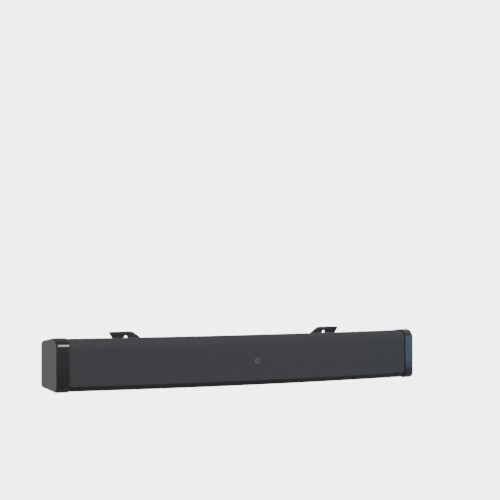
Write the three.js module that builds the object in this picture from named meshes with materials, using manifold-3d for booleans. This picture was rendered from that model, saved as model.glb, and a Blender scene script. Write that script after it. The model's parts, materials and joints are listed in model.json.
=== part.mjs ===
// A wall or display mounted soundbar, with its drivers, electronics, buttons and hanger brackets.
// Millimetres. +X runs along the bar, +Y points to the wall behind it and +Z points up.
// The origin is at the middle of the bounding box, on the surface that the rubber feet stand on.

import * as THREE from "three";
import { mergeVertices } from "three/addons/utils/BufferGeometryUtils.js";
import Module from "manifold-3d";

// ---------------------------------------------------------------- driving dimensions

const BAR_LENGTH = 1117;
const BAR_HEIGHT = 138.5; // of the end caps
const END_DEPTH = 103;
const BOW = 50; // how far the middle of the front stands forward of its ends

const FRONT_TOP_RADIUS = 28;
const FRONT_BOTTOM_RADIUS = 14;
const BACK_TOP_RADIUS = 13;
const BACK_BOTTOM_RADIUS = 11;
const BACK_TOP_CENTRE = 116.9; // height of the arc's centre
const BACK_BOTTOM_CENTRE = 19;

const CAP_WIDTH = 32.5;
const CAP_FILLET = 4;
const CAP_WALL = 3;
const CAP_PROUD = 2.2; // how far the end caps stand out over the body between them
const SPIGOT_LENGTH = 10;
const SPIGOT_WALL = 2.4;
const SPIGOT_START = 24; // depth at which the spigot begins, clear of the baffle

const WALL = 3;
const GAP = 0.4; // running gap between neighbouring pieces
const LIP_HEIGHT = 15; // the housing's lower lip rises this far up the front
const SEAM = THREE.MathUtils.degToRad(68); // where the grille ends on the upper front arc
const SEAM_GAP = THREE.MathUtils.degToRad(1.5);

const GRILLE_THICKNESS = 1.2;
const FRAME_THICKNESS = 2;
const FRAME_RIB = 8;
const FRAME_WINDOWS = 12;
const BADGE_RADIUS = 10.5;
const BADGE_THICKNESS = 1.2;
const BADGE_HEIGHT = 68;
const BADGE_X = 4;

const BAFFLE_DEPTH = 14;
const BAFFLE_THICKNESS = 4;
const BAFFLE_BOTTOM = 7;
const BAFFLE_TOP = 122;
const DRIVER_HEIGHT = 64;
const WOOFER_PLACES = [-455, -355, 355, 455];
const WOOFER_RADIUS = 44;
const WOOFER_BASKET = 38;
const WOOFER_CONE = 31;
const TWEETER_PLACES = [-276, 276];
const TWEETER_RADIUS = 24;
const TWEETER_DOME = 12.5;
const TWEETER_MAGNET = 17;

const TRAY = { width: 190, height: 42, depth: 14, centre: 59, wall: 2 };
const SOCKET_REACH = 14; // length of a socket behind the tray's floor
const SOCKET_PROUD = 1;

const BRACKET_X = 315;
const BRACKET_HOLE_HEIGHT = 132;
const BRACKET_HOLE_RADIUS = 5;
const BRACKET_THICKNESS = 3;
const BRACKET_SCREW_HEIGHTS = [58, 96];
const BRACKET_SCREW_X = 284;
const BRACKET_SCREW = { head: 4.6, headHeight: 2.4, shank: 2.3, length: 14, hole: 2.7 };
const CAP_SCREW = { head: 3.2, headHeight: 1.7, shank: 1.3, length: 7, hole: 1.7 };
const CAP_SCREW_HEIGHT = 67;
// The ear's corners, each outwards from its hole and above the bar's lowest line.
const BRACKET_OUTLINE = [
  [-58, 46], [-4, 46], [-4, 84], [30, 116], [36, 126],
  [43, 136], [51, 147], [-20, 147], [-50, 126], [-58, 112],
];
const BOSS_RADIUS = 6.5;
const BOSS_LENGTH = 9;

const PANEL = { length: 150, width: 24, thickness: 2.6, proud: 0.4, fromBack: 52 };
const BUTTON_PLACES = [-54, -18, 18, 54];
const BUTTON = { length: 24, width: 11, top: 1.4, bottom: -4, flange: 1.4, flangeTop: -2.8 };
const BUTTON_BOARD_TOP = -5.2;
const ROUND_END = 0.01; // keeps a fully rounded end from coming to nothing between its arcs

const FOOT_DROP = 0.5; // how far the end caps clear the surface under the feet
const FOOT_RADIUS = 9;
const FOOT_X = 400;
const FOOT_DEPTHS = { front: 50, rear: 96 };
const FOOT_TALLEST = 14;

const RECEIVER = { radius: 4, length: 6, x: 64 };
const BOARD = 1.6;
const SOLDER = 0.4; // how far a chip or a can is sunk into its board
const HEAT_SINK = { x: 132, size: 36, centre: 56, base: 4, away: 8, fin: 1.6, finDepth: 14.4, finAway: 17 };
const FIN_SPAN = 16;
const FIN_COUNT = 9;
const LEAD_RADIUS = 1.6;
const LEAD_STEPS = 24;
const LEAD_START = { x: 182, forward: 14, height: 30 }; // forward of the boards
// The rest of a lead's route: along the bar, forward of the housing's back wall, and height.
const LEAD_ROUTE = [[210, 24, 24], [260, 16, 21], [340, 16, 20], [420, 20, 20], [450, 22, 22]];

const BUTTON_NAMES = ["button_power", "button_source", "button_volume_down", "button_volume_up"];
const SIDES = [["left", -1], ["right", 1]];

const HAIR = 0.3; // clearance under a screw's head
const ROUND_STEPS = 16;
const SMALL_STEPS = 8;
const LENGTH_STEPS = 12;
const ARC_STEPS = { frontTop: 6, backTop: 3, backBottom: 3, frontBottom: 4, seam: 2 };
const FILLET_STEPS = 4;
const WELD = 1e-3;

// ---------------------------------------------------------------- derived places

const HALF = BAR_LENGTH / 2;
const BODY_HALF = HALF - CAP_WIDTH;
const BOW_RADIUS = (HALF * HALF + BOW * BOW) / (2 * BOW);
const BRACKET_FRONT = -CAP_PROUD + GAP; // measured back from the caps' rear plane
const BADGE_FRONT = CAP_PROUD - BADGE_THICKNESS - GAP; // measured back from the bar's front
const REAR_MOST = BRACKET_FRONT + BRACKET_THICKNESS + HAIR + BRACKET_SCREW.headHeight;
const Y_BACK = (END_DEPTH + BOW - BADGE_FRONT - REAR_MOST) / 2; // rear plane of the end caps
const FRAME_INSET = CAP_PROUD + GRILLE_THICKNESS + GAP;
const QUARTER = Math.PI / 2;

const depthAt = (x) => END_DEPTH + Math.sqrt(BOW_RADIUS ** 2 - x * x) - (BOW_RADIUS - BOW);
const frontY = (x) => Y_BACK - depthAt(x);
const frontSlope = (x) => Math.asin(x / BOW_RADIUS);
const zOf = (height) => FOOT_DROP + height;

// ---------------------------------------------------------------- materials

const finish = (color, roughness, metalness = 0) =>
  new THREE.MeshStandardMaterial({ color, roughness, metalness });

const MATERIALS = {
  housing: finish(0x222325, 0.42),
  cap: finish(0x2b2c2f, 0.18),
  grille: finish(0x3c3c40, 0.78, 0.2),
  badge: finish(0x55565a, 0.4, 0.6),
  inner: finish(0x1c1c1d, 0.7),
  steel: finish(0x26282c, 0.5, 0.8),
  zinc: finish(0x9c9ea0, 0.35, 1),
  ferrite: finish(0x3a3a3c, 0.8),
  paper: finish(0x2a2a2a, 0.85),
  rubber: finish(0x141414, 0.9),
  silk: finish(0x33302c, 0.75),
  board: finish(0x1d5a34, 0.5),
  aluminium: finish(0xb4b6b8, 0.38, 1),
  socket: finish(0x161617, 0.55),
  button: finish(0x2c2d30, 0.35),
  lens: finish(0x3a1016, 0.15),
  lead: finish(0x7a1d1d, 0.6),
};

// ---------------------------------------------------------------- solids, joins and cuts

const wasm = await Module();
wasm.setup();

function toSolid(geometry) {
  const bare = geometry.clone();
  bare.deleteAttribute("normal");
  bare.deleteAttribute("uv");
  const merged = mergeVertices(bare, WELD);
  const vertProperties = Float32Array.from(merged.attributes.position.array);
  const triVerts = Uint32Array.from(merged.index.array);
  return new wasm.Manifold(new wasm.Mesh({ numProp: 3, vertProperties, triVerts }));
}

function toGeometry(solid) {
  const mesh = solid.getMesh();
  const geometry = new THREE.BufferGeometry();
  geometry.setAttribute("position", new THREE.Float32BufferAttribute(mesh.vertProperties, 3));
  geometry.setIndex(Array.from(mesh.triVerts));
  return geometry;
}

const gather = (geometries) => geometries.map(toSolid).reduce((all, one) => all.add(one));
const cut = (geometry, tools) => toGeometry(toSolid(geometry).subtract(gather(tools)));
const join = (geometries) => toGeometry(gather(geometries));
const keep = (geometry, region) => toGeometry(toSolid(geometry).intersect(toSolid(region)));

// A solid of revolution whose profile is [radius, forward distance]; forward is towards -Y.
function turned(profile, steps = ROUND_STEPS) {
  const points = profile.map(([radius, forward]) => new THREE.Vector2(radius, forward));
  const geometry = new THREE.LatheGeometry(points, steps);
  if (toSolid(geometry).volume() < 0) {
    geometry.setIndex(Array.from(geometry.index.array).reverse());
  }
  return geometry.rotateX(Math.PI);
}

const box = (width, depth, height, x, y, z) =>
  new THREE.BoxGeometry(width, depth, height).translate(x, y, z);

// A cylinder along Y, from y = start towards the back.
const rod = (radius, length, x, start, z, steps = SMALL_STEPS) =>
  new THREE.CylinderGeometry(radius, radius, length, steps).translate(x, start + length / 2, z);

function roundedRectangle(width, height, radius) {
  const shape = new THREE.Shape();
  const w = width / 2 - radius;
  const h = height / 2 - radius;
  shape.absarc(w, h, radius, 0, QUARTER);
  shape.absarc(-w, h, radius, QUARTER, 2 * QUARTER);
  shape.absarc(-w, -h, radius, 2 * QUARTER, 3 * QUARTER);
  shape.absarc(w, -h, radius, 3 * QUARTER, 4 * QUARTER);
  return shape;
}

function circle(radius, x = 0, y = 0) {
  const path = new THREE.Path();
  path.absarc(x, y, radius, 0, 4 * QUARTER);
  return path;
}

// A flat plate in the XZ plane, from y = start towards the back.
const plate = (shape, thickness, start, curveSegments = 4) =>
  new THREE.ExtrudeGeometry(shape, { depth: thickness, bevelEnabled: false, curveSegments })
    .rotateX(QUARTER)
    .translate(0, start + thickness, 0);

// ---------------------------------------------------------------- the bar's cross-section

// The four corner arcs at a place along the bar, as depth behind the front and height, moved in by inset.
function cornersAt(x, inset) {
  const depth = depthAt(x);
  const corner = (d, h, radius) => ({ d, h, r: radius - inset });
  const frontTop = corner(FRONT_TOP_RADIUS, BAR_HEIGHT - FRONT_TOP_RADIUS, FRONT_TOP_RADIUS);
  const frontBottom = corner(FRONT_BOTTOM_RADIUS, FRONT_BOTTOM_RADIUS, FRONT_BOTTOM_RADIUS);
  const backTop = corner(depth - BACK_TOP_RADIUS, BACK_TOP_CENTRE, BACK_TOP_RADIUS);
  const backBottom = corner(depth - BACK_BOTTOM_RADIUS, BACK_BOTTOM_CENTRE, BACK_BOTTOM_RADIUS);
  const fall = tangentTilt(frontTop, backTop, frontTop.h - backTop.h);
  const rise = tangentTilt(frontBottom, backBottom, backBottom.h - frontBottom.h);
  return { frontTop, frontBottom, backTop, backBottom, fall, rise };
}

// The slope of the straight line that touches two corner arcs.
function tangentTilt(front, back, drop) {
  const run = back.d - front.d;
  return Math.atan2(drop, run) + Math.asin((front.r - back.r) / Math.hypot(run, drop));
}

function arc(corner, from, to, steps) {
  const clockwise = to < from;
  return new THREE.EllipseCurve(corner.d, corner.h, corner.r, corner.r, from, to, clockwise).getPoints(steps);
}

const placed = (x, points) => points.map((p) => new THREE.Vector2(frontY(x) + p.x, zOf(p.y)));

// The whole outline, as the end caps have it.
function fullOutline(x, inset) {
  const c = cornersAt(x, inset);
  const points = [
    ...arc(c.frontTop, Math.PI, QUARTER - c.fall, ARC_STEPS.frontTop),
    ...arc(c.backTop, QUARTER - c.fall, 0, ARC_STEPS.backTop),
    ...arc(c.backBottom, 0, c.rise - QUARTER, ARC_STEPS.backBottom),
    ...arc(c.frontBottom, c.rise - QUARTER, -Math.PI, ARC_STEPS.frontBottom),
  ];
  return placed(x, points);
}

// From the lower lip on the front, under the bar, up its back and over its top to the grille's upper seam.
function wrapPath(x, inset) {
  const c = cornersAt(x, inset);
  const points = [
    new THREE.Vector2(inset, LIP_HEIGHT - GAP),
    ...arc(c.frontBottom, -Math.PI, c.rise - QUARTER, ARC_STEPS.frontBottom),
    ...arc(c.backBottom, c.rise - QUARTER, 0, ARC_STEPS.backBottom),
    ...arc(c.backTop, 0, QUARTER - c.fall, ARC_STEPS.backTop),
    ...arc(c.frontTop, QUARTER - c.fall, Math.PI - SEAM - SEAM_GAP, ARC_STEPS.seam),
  ];
  return placed(x, points);
}

// From the upper seam down the front to the lower lip.
function facePath(x, inset, seam, bottom) {
  const c = cornersAt(x, inset);
  const curve = arc(c.frontTop, Math.PI - seam, Math.PI, ARC_STEPS.frontTop);
  return placed(x, [...curve, new THREE.Vector2(inset, bottom)]);
}

// A solid through a row of rings, each a list of (y, z) points at its own x.
function loft(sections) {
  const count = sections[0].ring.length;
  const turn = THREE.ShapeUtils.area(sections[0].ring) < 0;
  const rings = sections.map(({ x, ring }) => ({ x, ring: turn ? [...ring].reverse() : ring }));
  const positions = rings.flatMap(({ x, ring }) => ring.flatMap((p) => [x, p.x, p.y]));
  const index = [];
  for (let k = 0; k + 1 < rings.length; k++) {
    for (let i = 0; i < count; i++) {
      const next = (i + 1) % count;
      const [a, b] = [k * count + i, k * count + next];
      index.push(a, b, b + count, a, b + count, a + count);
    }
  }
  const last = (rings.length - 1) * count;
  for (const [a, b, c] of THREE.ShapeUtils.triangulateShape(rings[0].ring, [])) {
    index.push(a, c, b);
  }
  for (const [a, b, c] of THREE.ShapeUtils.triangulateShape(rings.at(-1).ring, [])) {
    index.push(last + a, last + b, last + c);
  }
  const geometry = new THREE.BufferGeometry();
  geometry.setAttribute("position", new THREE.Float32BufferAttribute(positions, 3));
  geometry.setIndex(index);
  return geometry;
}

function stations(from, to, steps) {
  return Array.from({ length: steps + 1 }, (_, i) => THREE.MathUtils.lerp(from, to, i / steps));
}

const loftAlong = (half, steps, ringAt) =>
  loft(stations(-half, half, steps).map((x) => ({ x, ring: ringAt(x) })));

// ---------------------------------------------------------------- the assembly

const soundbar = new THREE.Group();

function add(name, geometry, material, parent = soundbar) {
  const mesh = new THREE.Mesh(geometry, material);
  mesh.name = name;
  parent.add(mesh);
  return mesh;
}

// A screw driven along -Y: its head rests on y = seat and its shank runs forward.
function screwAt({ head, headHeight, shank, length }, x, seat, height) {
  const profile = [
    [0, length],
    [shank, length],
    [shank, 0],
    [head, 0],
    [head * 0.94, -headHeight * 0.55],
    [head * 0.6, -headHeight],
    [0, -headHeight],
  ];
  return turned(profile, SMALL_STEPS).translate(x, seat, zOf(height));
}

// The top surface's slope and mid-place at the control panel, in the middle of the bar.
function panelSeat() {
  const c = cornersAt(0, CAP_PROUD);
  const depth = depthAt(0) - PANEL.fromBack;
  const touch = c.frontTop.h + c.frontTop.r / Math.cos(c.fall);
  const height = touch - (depth - c.frontTop.d) * Math.tan(c.fall);
  return { y: frontY(0) + depth, z: zOf(height), tilt: -c.fall };
}

const PANEL_SEAT = panelSeat();

function onPanel(geometry) {
  return geometry.rotateX(PANEL_SEAT.tilt).translate(0, PANEL_SEAT.y, PANEL_SEAT.z);
}

const bracketPlaces = SIDES.flatMap(([sideName, side]) =>
  BRACKET_SCREW_HEIGHTS.map((height, i) => ({
    name: `bracket_screw_${sideName}_${i + 1}`,
    x: side * BRACKET_SCREW_X,
    height,
  })));

const capScrewPlaces = SIDES.map(([sideName, side]) => ({
  name: `end_cap_screw_${sideName}`,
  x: side * (BODY_HALF - SPIGOT_LENGTH / 2),
  height: CAP_SCREW_HEIGHT,
}));

const rearHoles = (places, { hole }, start, length) =>
  places.map(({ x, height }) => rod(hole, length, x, start, zOf(height)));

// ---------------------------------------------------------------- housing, caps and feet

function housing() {
  const ring = (x) => [...wrapPath(x, CAP_PROUD), ...wrapPath(x, CAP_PROUD + WALL).reverse()];
  const shell = loftAlong(BODY_HALF - GAP, LENGTH_STEPS, ring);
  const innerWall = Y_BACK - CAP_PROUD - WALL;
  const bosses = bracketPlaces.map(({ x, height }) =>
    rod(BOSS_RADIUS, BOSS_LENGTH + 1, x, innerWall - BOSS_LENGTH, zOf(height)));
  const trayHole = box(
    TRAY.width + 2 * GAP, 4 * WALL, TRAY.height + 2 * GAP, 0, Y_BACK - CAP_PROUD, zOf(TRAY.centre));
  const panelHole = onPanel(box(PANEL.length + 2 * GAP, PANEL.width + 2 * GAP, 6 * WALL, 0, 0, 0));
  const screwHoles = [
    ...rearHoles(bracketPlaces, BRACKET_SCREW, innerWall - BOSS_LENGTH - 1, 4 * WALL + BOSS_LENGTH),
    ...rearHoles(capScrewPlaces, CAP_SCREW, innerWall - WALL, 4 * WALL),
  ];
  return cut(join([shell, ...bosses]), [trayHole, panelHole, ...screwHoles]);
}

// A solid through sections given for the right-hand end, mirrored for the left-hand one.
function endLoft(side, sections) {
  const rings = sections.map(({ x, inset }) => ({ x: side * x, ring: fullOutline(side * x, inset) }));
  return loft(side > 0 ? rings : rings.reverse());
}

// The glossy cup, a flange that closes round the body's end, and a spigot that slides into the housing.
function endCap(side) {
  const shoulder = HALF - CAP_FILLET;
  const fillet = stations(0, QUARTER, FILLET_STEPS).map((angle) => ({
    x: shoulder + CAP_FILLET * Math.sin(angle),
    inset: CAP_FILLET * (1 - Math.cos(angle)),
  }));
  const outside = endLoft(side, [{ x: BODY_HALF, inset: 0 }, ...fillet]);
  const inside = endLoft(side, [{ x: BODY_HALF - 1, inset: CAP_WALL }, { x: shoulder, inset: CAP_WALL }]);
  const even = (from, to, inset) => endLoft(side, [{ x: from, inset }, { x: to, inset }]);
  const spigotInset = CAP_PROUD + WALL + GAP;
  const bore = even(BODY_HALF - 4 * WALL, BODY_HALF + 4 * WALL, spigotInset + SPIGOT_WALL);
  const flange = even(BODY_HALF, BODY_HALF + WALL, CAP_PROUD);
  const sleeve = even(BODY_HALF - SPIGOT_LENGTH, BODY_HALF + 1, spigotInset);
  const behindBaffle = box(
    2 * BAR_LENGTH, END_DEPTH, 2 * BAR_HEIGHT,
    0, frontY(BODY_HALF) + SPIGOT_START + END_DEPTH / 2, zOf(BAR_HEIGHT / 2));
  const spigot = keep(cut(sleeve, [bore]), behindBaffle);
  const whole = join([cut(outside, [inside]), cut(flange, [bore]), spigot]);
  return cut(whole, rearHoles(capScrewPlaces, CAP_SCREW, Y_BACK - 5 * WALL, 5 * WALL - 1));
}

// A tapered foot whose top follows the sloping underside.
function foot(side, depth) {
  const x = side * FOOT_X;
  const y = frontY(x) + depth;
  const { frontBottom, rise } = cornersAt(x, CAP_PROUD);
  const lowest = frontBottom.h - frontBottom.r / Math.cos(rise);
  const underside = lowest + (depth - frontBottom.d) * Math.tan(rise);
  const column = new THREE.CylinderGeometry(FOOT_RADIUS, FOOT_RADIUS + 1, FOOT_TALLEST, ROUND_STEPS)
    .rotateX(QUARTER)
    .translate(x, y, FOOT_TALLEST / 2);
  const above = box(4 * FOOT_RADIUS, 4 * FOOT_RADIUS, 2 * FOOT_TALLEST, 0, 0, FOOT_TALLEST)
    .rotateX(rise)
    .translate(x, y, zOf(underside) - GAP);
  return cut(column, [above]);
}

add("rear_housing", housing(), MATERIALS.housing);
add("end_cap_left", endCap(-1), MATERIALS.cap);
add("end_cap_right", endCap(1), MATERIALS.cap);

for (const [sideName, side] of SIDES) {
  for (const [placeName, depth] of Object.entries(FOOT_DEPTHS)) {
    add(`foot_${placeName}_${sideName}`, foot(side, depth), MATERIALS.rubber);
  }
}

for (const { name, x, height } of capScrewPlaces) {
  add(name, screwAt(CAP_SCREW, x, Y_BACK - CAP_PROUD + HAIR, height), MATERIALS.zinc);
}

// ---------------------------------------------------------------- grille, badge and baffle

function grilleFrame() {
  const ring = (x) => [
    ...facePath(x, FRAME_INSET, SEAM, LIP_HEIGHT + GAP),
    ...facePath(x, FRAME_INSET + FRAME_THICKNESS, SEAM, LIP_HEIGHT + GAP).reverse(),
  ];
  const skin = loftAlong(BODY_HALF - GAP, LENGTH_STEPS, ring);
  const pitch = (2 * BODY_HALF) / FRAME_WINDOWS;
  const low = LIP_HEIGHT + FRAME_RIB;
  const high = BAR_HEIGHT - FRONT_TOP_RADIUS;
  const windows = stations(pitch / 2 - BODY_HALF, BODY_HALF - pitch / 2, FRAME_WINDOWS - 1).map((x) =>
    box(pitch - FRAME_RIB, 8 * FRAME_RIB, high - low, x, frontY(x), zOf((low + high) / 2)));
  return cut(skin, windows);
}

function grilleMesh() {
  const ring = (x) => [
    ...facePath(x, CAP_PROUD, SEAM, LIP_HEIGHT),
    ...facePath(x, CAP_PROUD + GRILLE_THICKNESS, SEAM, LIP_HEIGHT).reverse(),
  ];
  return loftAlong(BODY_HALF - GAP, LENGTH_STEPS, ring);
}

function baffle() {
  const ring = (x) => {
    const front = frontY(x) + BAFFLE_DEPTH;
    const back = front + BAFFLE_THICKNESS;
    const [low, high] = [zOf(BAFFLE_BOTTOM), zOf(BAFFLE_TOP)];
    const corners = [[front, low], [back, low], [back, high], [front, high]];
    return corners.map(([y, z]) => new THREE.Vector2(y, z));
  };
  const board = loftAlong(BODY_HALF - SPIGOT_LENGTH - GAP, LENGTH_STEPS, ring);
  const hole = (x, radius) =>
    onBaffle(rod(radius, 8 * BAFFLE_THICKNESS, 0, -4 * BAFFLE_THICKNESS, 0, ROUND_STEPS), x);
  return cut(board, [
    ...WOOFER_PLACES.map((x) => hole(x, WOOFER_BASKET + GAP)),
    ...TWEETER_PLACES.map((x) => hole(x, TWEETER_MAGNET + 2 * GAP)),
  ]);
}

// Moves a piece made about the Y axis to a driver's place, square to the bowed baffle's front face.
function onBaffle(geometry, x) {
  return geometry.rotateZ(frontSlope(x)).translate(x, frontY(x) + BAFFLE_DEPTH, zOf(DRIVER_HEIGHT));
}

const badge = () =>
  rod(BADGE_RADIUS, BADGE_THICKNESS, BADGE_X, frontY(BADGE_X) + BADGE_FRONT, zOf(BADGE_HEIGHT), ROUND_STEPS);

add("grille_mesh", grilleMesh(), MATERIALS.grille);
add("grille_frame", grilleFrame(), MATERIALS.inner);
add("front_baffle", baffle(), MATERIALS.inner);
add("front_badge", badge(), MATERIALS.badge);

// ---------------------------------------------------------------- drivers

// Profiles are [radius, distance in front of the baffle's front face].
const CONE_SPACE = WOOFER_BASKET - WOOFER_CONE;
const WOOFER_PIECES = {
  basket: {
    material: MATERIALS.steel,
    profile: [
      [WOOFER_RADIUS, 0.6], [WOOFER_RADIUS, 3], [WOOFER_BASKET - 1.6, 3], [WOOFER_BASKET - 1.6, -4],
      [24, -26], [12, -26], [12, -28], [26, -28], [WOOFER_BASKET - 0.2, -5], [WOOFER_BASKET - 0.2, 0.6],
    ],
  },
  magnet: { material: MATERIALS.ferrite, profile: [[0, -40], [30, -40], [30, -28.4], [0, -28.4]] },
  surround: {
    material: MATERIALS.rubber,
    profile: [
      [WOOFER_CONE + GAP, 0.4], [WOOFER_BASKET - 2.2, 0.4], [WOOFER_BASKET - 2.2, 1.6],
      [WOOFER_CONE + CONE_SPACE / 2, 4], [WOOFER_CONE + GAP, 1.6],
    ],
  },
  cone: {
    material: MATERIALS.paper,
    profile: [
      [0, -12], [9, -14], [9, -19], [10.4, -19], [11, -15], [WOOFER_CONE, -2.6], [WOOFER_CONE, 1.2],
      [WOOFER_CONE - 1.2, 1.2], [WOOFER_CONE - 1.2, -2], [11, -12.4], [6, -8.6], [0, -7],
    ],
  },
};

const TWEETER_PIECES = {
  faceplate: {
    material: MATERIALS.housing,
    profile: [
      [TWEETER_DOME + GAP, 0.4], [TWEETER_RADIUS, 0.4], [TWEETER_RADIUS, 2.6], [TWEETER_RADIUS - 2, 3.2],
      [TWEETER_DOME + GAP, 1.6],
    ],
  },
  dome: {
    material: MATERIALS.silk,
    profile: [[0, -1], [TWEETER_DOME, -1], [TWEETER_DOME, 1], [9, 4.6], [0, 6.4]],
  },
  magnet: {
    material: MATERIALS.ferrite,
    profile: [[0, -18], [TWEETER_MAGNET, -18], [TWEETER_MAGNET, -1.4], [0, -1.4]],
  },
};

function addDriver(name, x, pieces, steps) {
  for (const [piece, { material, profile }] of Object.entries(pieces)) {
    const onAxis = profile[0][0] === 0;
    const outline = onAxis ? profile : [...profile, profile[0]];
    add(`${name}_${piece}`, onBaffle(turned(outline, steps), x), material);
  }
}

WOOFER_PLACES.forEach((x, i) => addDriver(`woofer_${i + 1}`, x, WOOFER_PIECES, ROUND_STEPS));
TWEETER_PLACES.forEach((x, i) => addDriver(`tweeter_${i + 1}`, x, TWEETER_PIECES, ROUND_STEPS));

// ---------------------------------------------------------------- rear connector tray and its sockets

const TRAY_BACK = Y_BACK - CAP_PROUD;
const TRAY_FLOOR = TRAY_BACK - TRAY.depth; // the face that the sockets look out of
const MOUTH = TRAY_FLOOR + SOCKET_PROUD;

// Each socket: its place along the tray, its outside and what is cut from and left in its mouth.
const SOCKETS = {
  power_inlet: { x: -70, outside: [24, 16], corner: 3, mouth: [15.2, 8.6], mouthCorner: 4, deep: 11 },
  hdmi_socket: { x: -14, outside: [19, 9], corner: 1, mouth: [15.2, 5.6], mouthCorner: 0.8, deep: 10 },
  optical_socket: { x: 20, outside: [14, 14], corner: 1.5, mouth: [9.4, 8.6], mouthCorner: 1, deep: 9 },
  usb_socket: { x: 48, outside: [17, 9.6], corner: 1, mouth: [13.2, 5.8], mouthCorner: 0.5, deep: 10 },
  aux_socket: { x: 74, outside: [11, 11], corner: 4.5, mouth: [3.7, 3.7], mouthCorner: 1.84, deep: 10 },
};
const TONGUES = {
  power_inlet: [-4.3, 4.3].map((x) => ({ x, z: 0, width: 2.2, height: 2.2, length: 10 })),
  hdmi_socket: [{ x: 0, z: 0.3, width: 12, height: 1.2, length: 9 }],
  optical_socket: [{ x: 0, z: 0, width: 2.6, height: 2.6, length: 3 }],
  usb_socket: [{ x: 0, z: 1, width: 11, height: 1.8, length: 9 }],
  aux_socket: [],
};

function socket(name) {
  const { x, outside, corner, mouth, mouthCorner, deep } = SOCKETS[name];
  const z = zOf(TRAY.centre);
  const body = plate(roundedRectangle(...outside, corner), SOCKET_REACH, MOUTH - SOCKET_REACH, 3);
  const hollow = plate(roundedRectangle(...mouth, mouthCorner), deep + 1, MOUTH - deep, 3);
  const tongues = TONGUES[name].map((t) =>
    box(t.width, t.length + 1, t.height, t.x, MOUTH - deep + (t.length - 1) / 2, t.z));
  const open = cut(body, [hollow]);
  return (tongues.length ? join([open, ...tongues]) : open).translate(x, 0, z);
}

function tray() {
  const centre = TRAY_FLOOR - TRAY.wall + (TRAY.depth + TRAY.wall) / 2;
  const z = zOf(TRAY.centre);
  const block = box(TRAY.width, TRAY.depth + TRAY.wall, TRAY.height, 0, centre, z);
  const hollow = box(
    TRAY.width - 2 * TRAY.wall, 2 * TRAY.depth, TRAY.height - 2 * TRAY.wall, 0, TRAY_FLOOR + TRAY.depth, z);
  const holes = Object.values(SOCKETS).map(({ x, outside, corner }) => {
    const [width, height] = outside.map((size) => size + 2 * GAP);
    return plate(roundedRectangle(width, height, corner + GAP), 4 * TRAY.wall, TRAY_FLOOR - 2 * TRAY.wall, 3)
      .translate(x, 0, z);
  });
  return cut(block, [hollow, ...holes]);
}

add("connector_tray", tray(), MATERIALS.housing);
for (const name of Object.keys(SOCKETS)) {
  add(name, socket(name), MATERIALS.socket);
}

// ---------------------------------------------------------------- boards and heat sink

const BOARD_BACK = MOUTH - SOCKET_REACH - GAP;

// Each board: its size, its place along the bar and the height of its middle. Its chips are [across, up,
// width, height, thickness] and its cans [across, up, radius, length], both from the board's middle.
const BOARDS = {
  main_board: {
    width: 130,
    height: 74,
    x: 32,
    centre: 56,
    chips: [
      [-28, 8, 22, 22, 2.4], [12, 14, 14, 14, 1.8], [10, -18, 18, 9, 2],
      [44, -6, 10, 16, 6], [-48, -20, 12, 10, 3],
    ],
    cans: [[40, 22, 4, 9], [50, 22, 4, 9], [-52, 22, 5, 12]],
  },
  power_supply_board: {
    width: 120,
    height: 84,
    x: -100,
    centre: 58,
    chips: [[24, 4, 34, 30, 26], [-22, -22, 18, 22, 14], [-44, 24, 14, 16, 12], [-4, 30, 22, 8, 10]],
    cans: [[-22, 14, 11, 30], [-46, -6, 8, 20], [48, -28, 6, 16]],
  },
  amplifier_board: {
    width: 72,
    height: 74,
    x: 140,
    centre: 56,
    chips: [[-8, 0, 24, 16, 3.4], [22, 22, 12, 12, 8], [22, 4, 12, 12, 8], [22, -14, 12, 12, 8]],
    cans: [[-26, 26, 5, 12], [-26, -26, 5, 12]],
  },
};

// A board facing the wall, with the chips and cans that stand on its front side joined to it.
function populated({ width, height, x, centre, chips, cans }) {
  const face = BOARD_BACK - BOARD;
  const board = box(width, BOARD, height, x, BOARD_BACK - BOARD / 2, zOf(centre));
  const blocks = chips.map(([across, up, w, h, tall]) =>
    box(w, tall + SOLDER, h, x + across, face - (tall - SOLDER) / 2, zOf(centre + up)));
  const columns = cans.map(([across, up, radius, tall]) =>
    rod(radius, tall + SOLDER, x + across, face - tall, zOf(centre + up)));
  return join([board, ...blocks, ...columns]);
}

function heatSink() {
  const { x, size, centre, base, away, fin, finDepth, finAway } = HEAT_SINK;
  const face = BOARD_BACK - BOARD;
  const fins = stations(-FIN_SPAN, FIN_SPAN, FIN_COUNT - 1).map((up) =>
    box(size, finDepth, fin, x, face - finAway, zOf(centre + up)));
  return join([box(size, base, size, x, face - away, zOf(centre)), ...fins]);
}

for (const [name, layout] of Object.entries(BOARDS)) {
  add(name, populated(layout), MATERIALS.board);
}
add("heat_sink", heatSink(), MATERIALS.aluminium);

// A pair of wires in one sleeve, from the amplifier's side of the bar out to its woofers.
function speakerLead(side) {
  const wall = Y_BACK - CAP_PROUD - WALL;
  const point = (x, y, height) => new THREE.Vector3(side * x, y, zOf(height));
  const route = [
    point(LEAD_START.x, BOARD_BACK - LEAD_START.forward, LEAD_START.height),
    ...LEAD_ROUTE.map(([x, forward, height]) => point(x, wall - forward, height)),
  ];
  const section = new THREE.Shape(circle(LEAD_RADIUS).getPoints(2));
  return new THREE.ExtrudeGeometry(section, {
    extrudePath: new THREE.CatmullRomCurve3(route),
    steps: LEAD_STEPS,
    bevelEnabled: false,
    curveSegments: 2,
  });
}

for (const [sideName, side] of SIDES) {
  add(`speaker_lead_${sideName}`, speakerLead(side), MATERIALS.lead);
}

// The infra-red receiver stands on the baffle, behind the grille.
function receiver() {
  const { radius, length, x } = RECEIVER;
  return rod(radius, length, x, frontY(x) + BAFFLE_DEPTH - length - GAP, zOf(BADGE_HEIGHT), ROUND_STEPS);
}

add("remote_receiver", receiver(), MATERIALS.lens);

// ---------------------------------------------------------------- control panel and buttons

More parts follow.
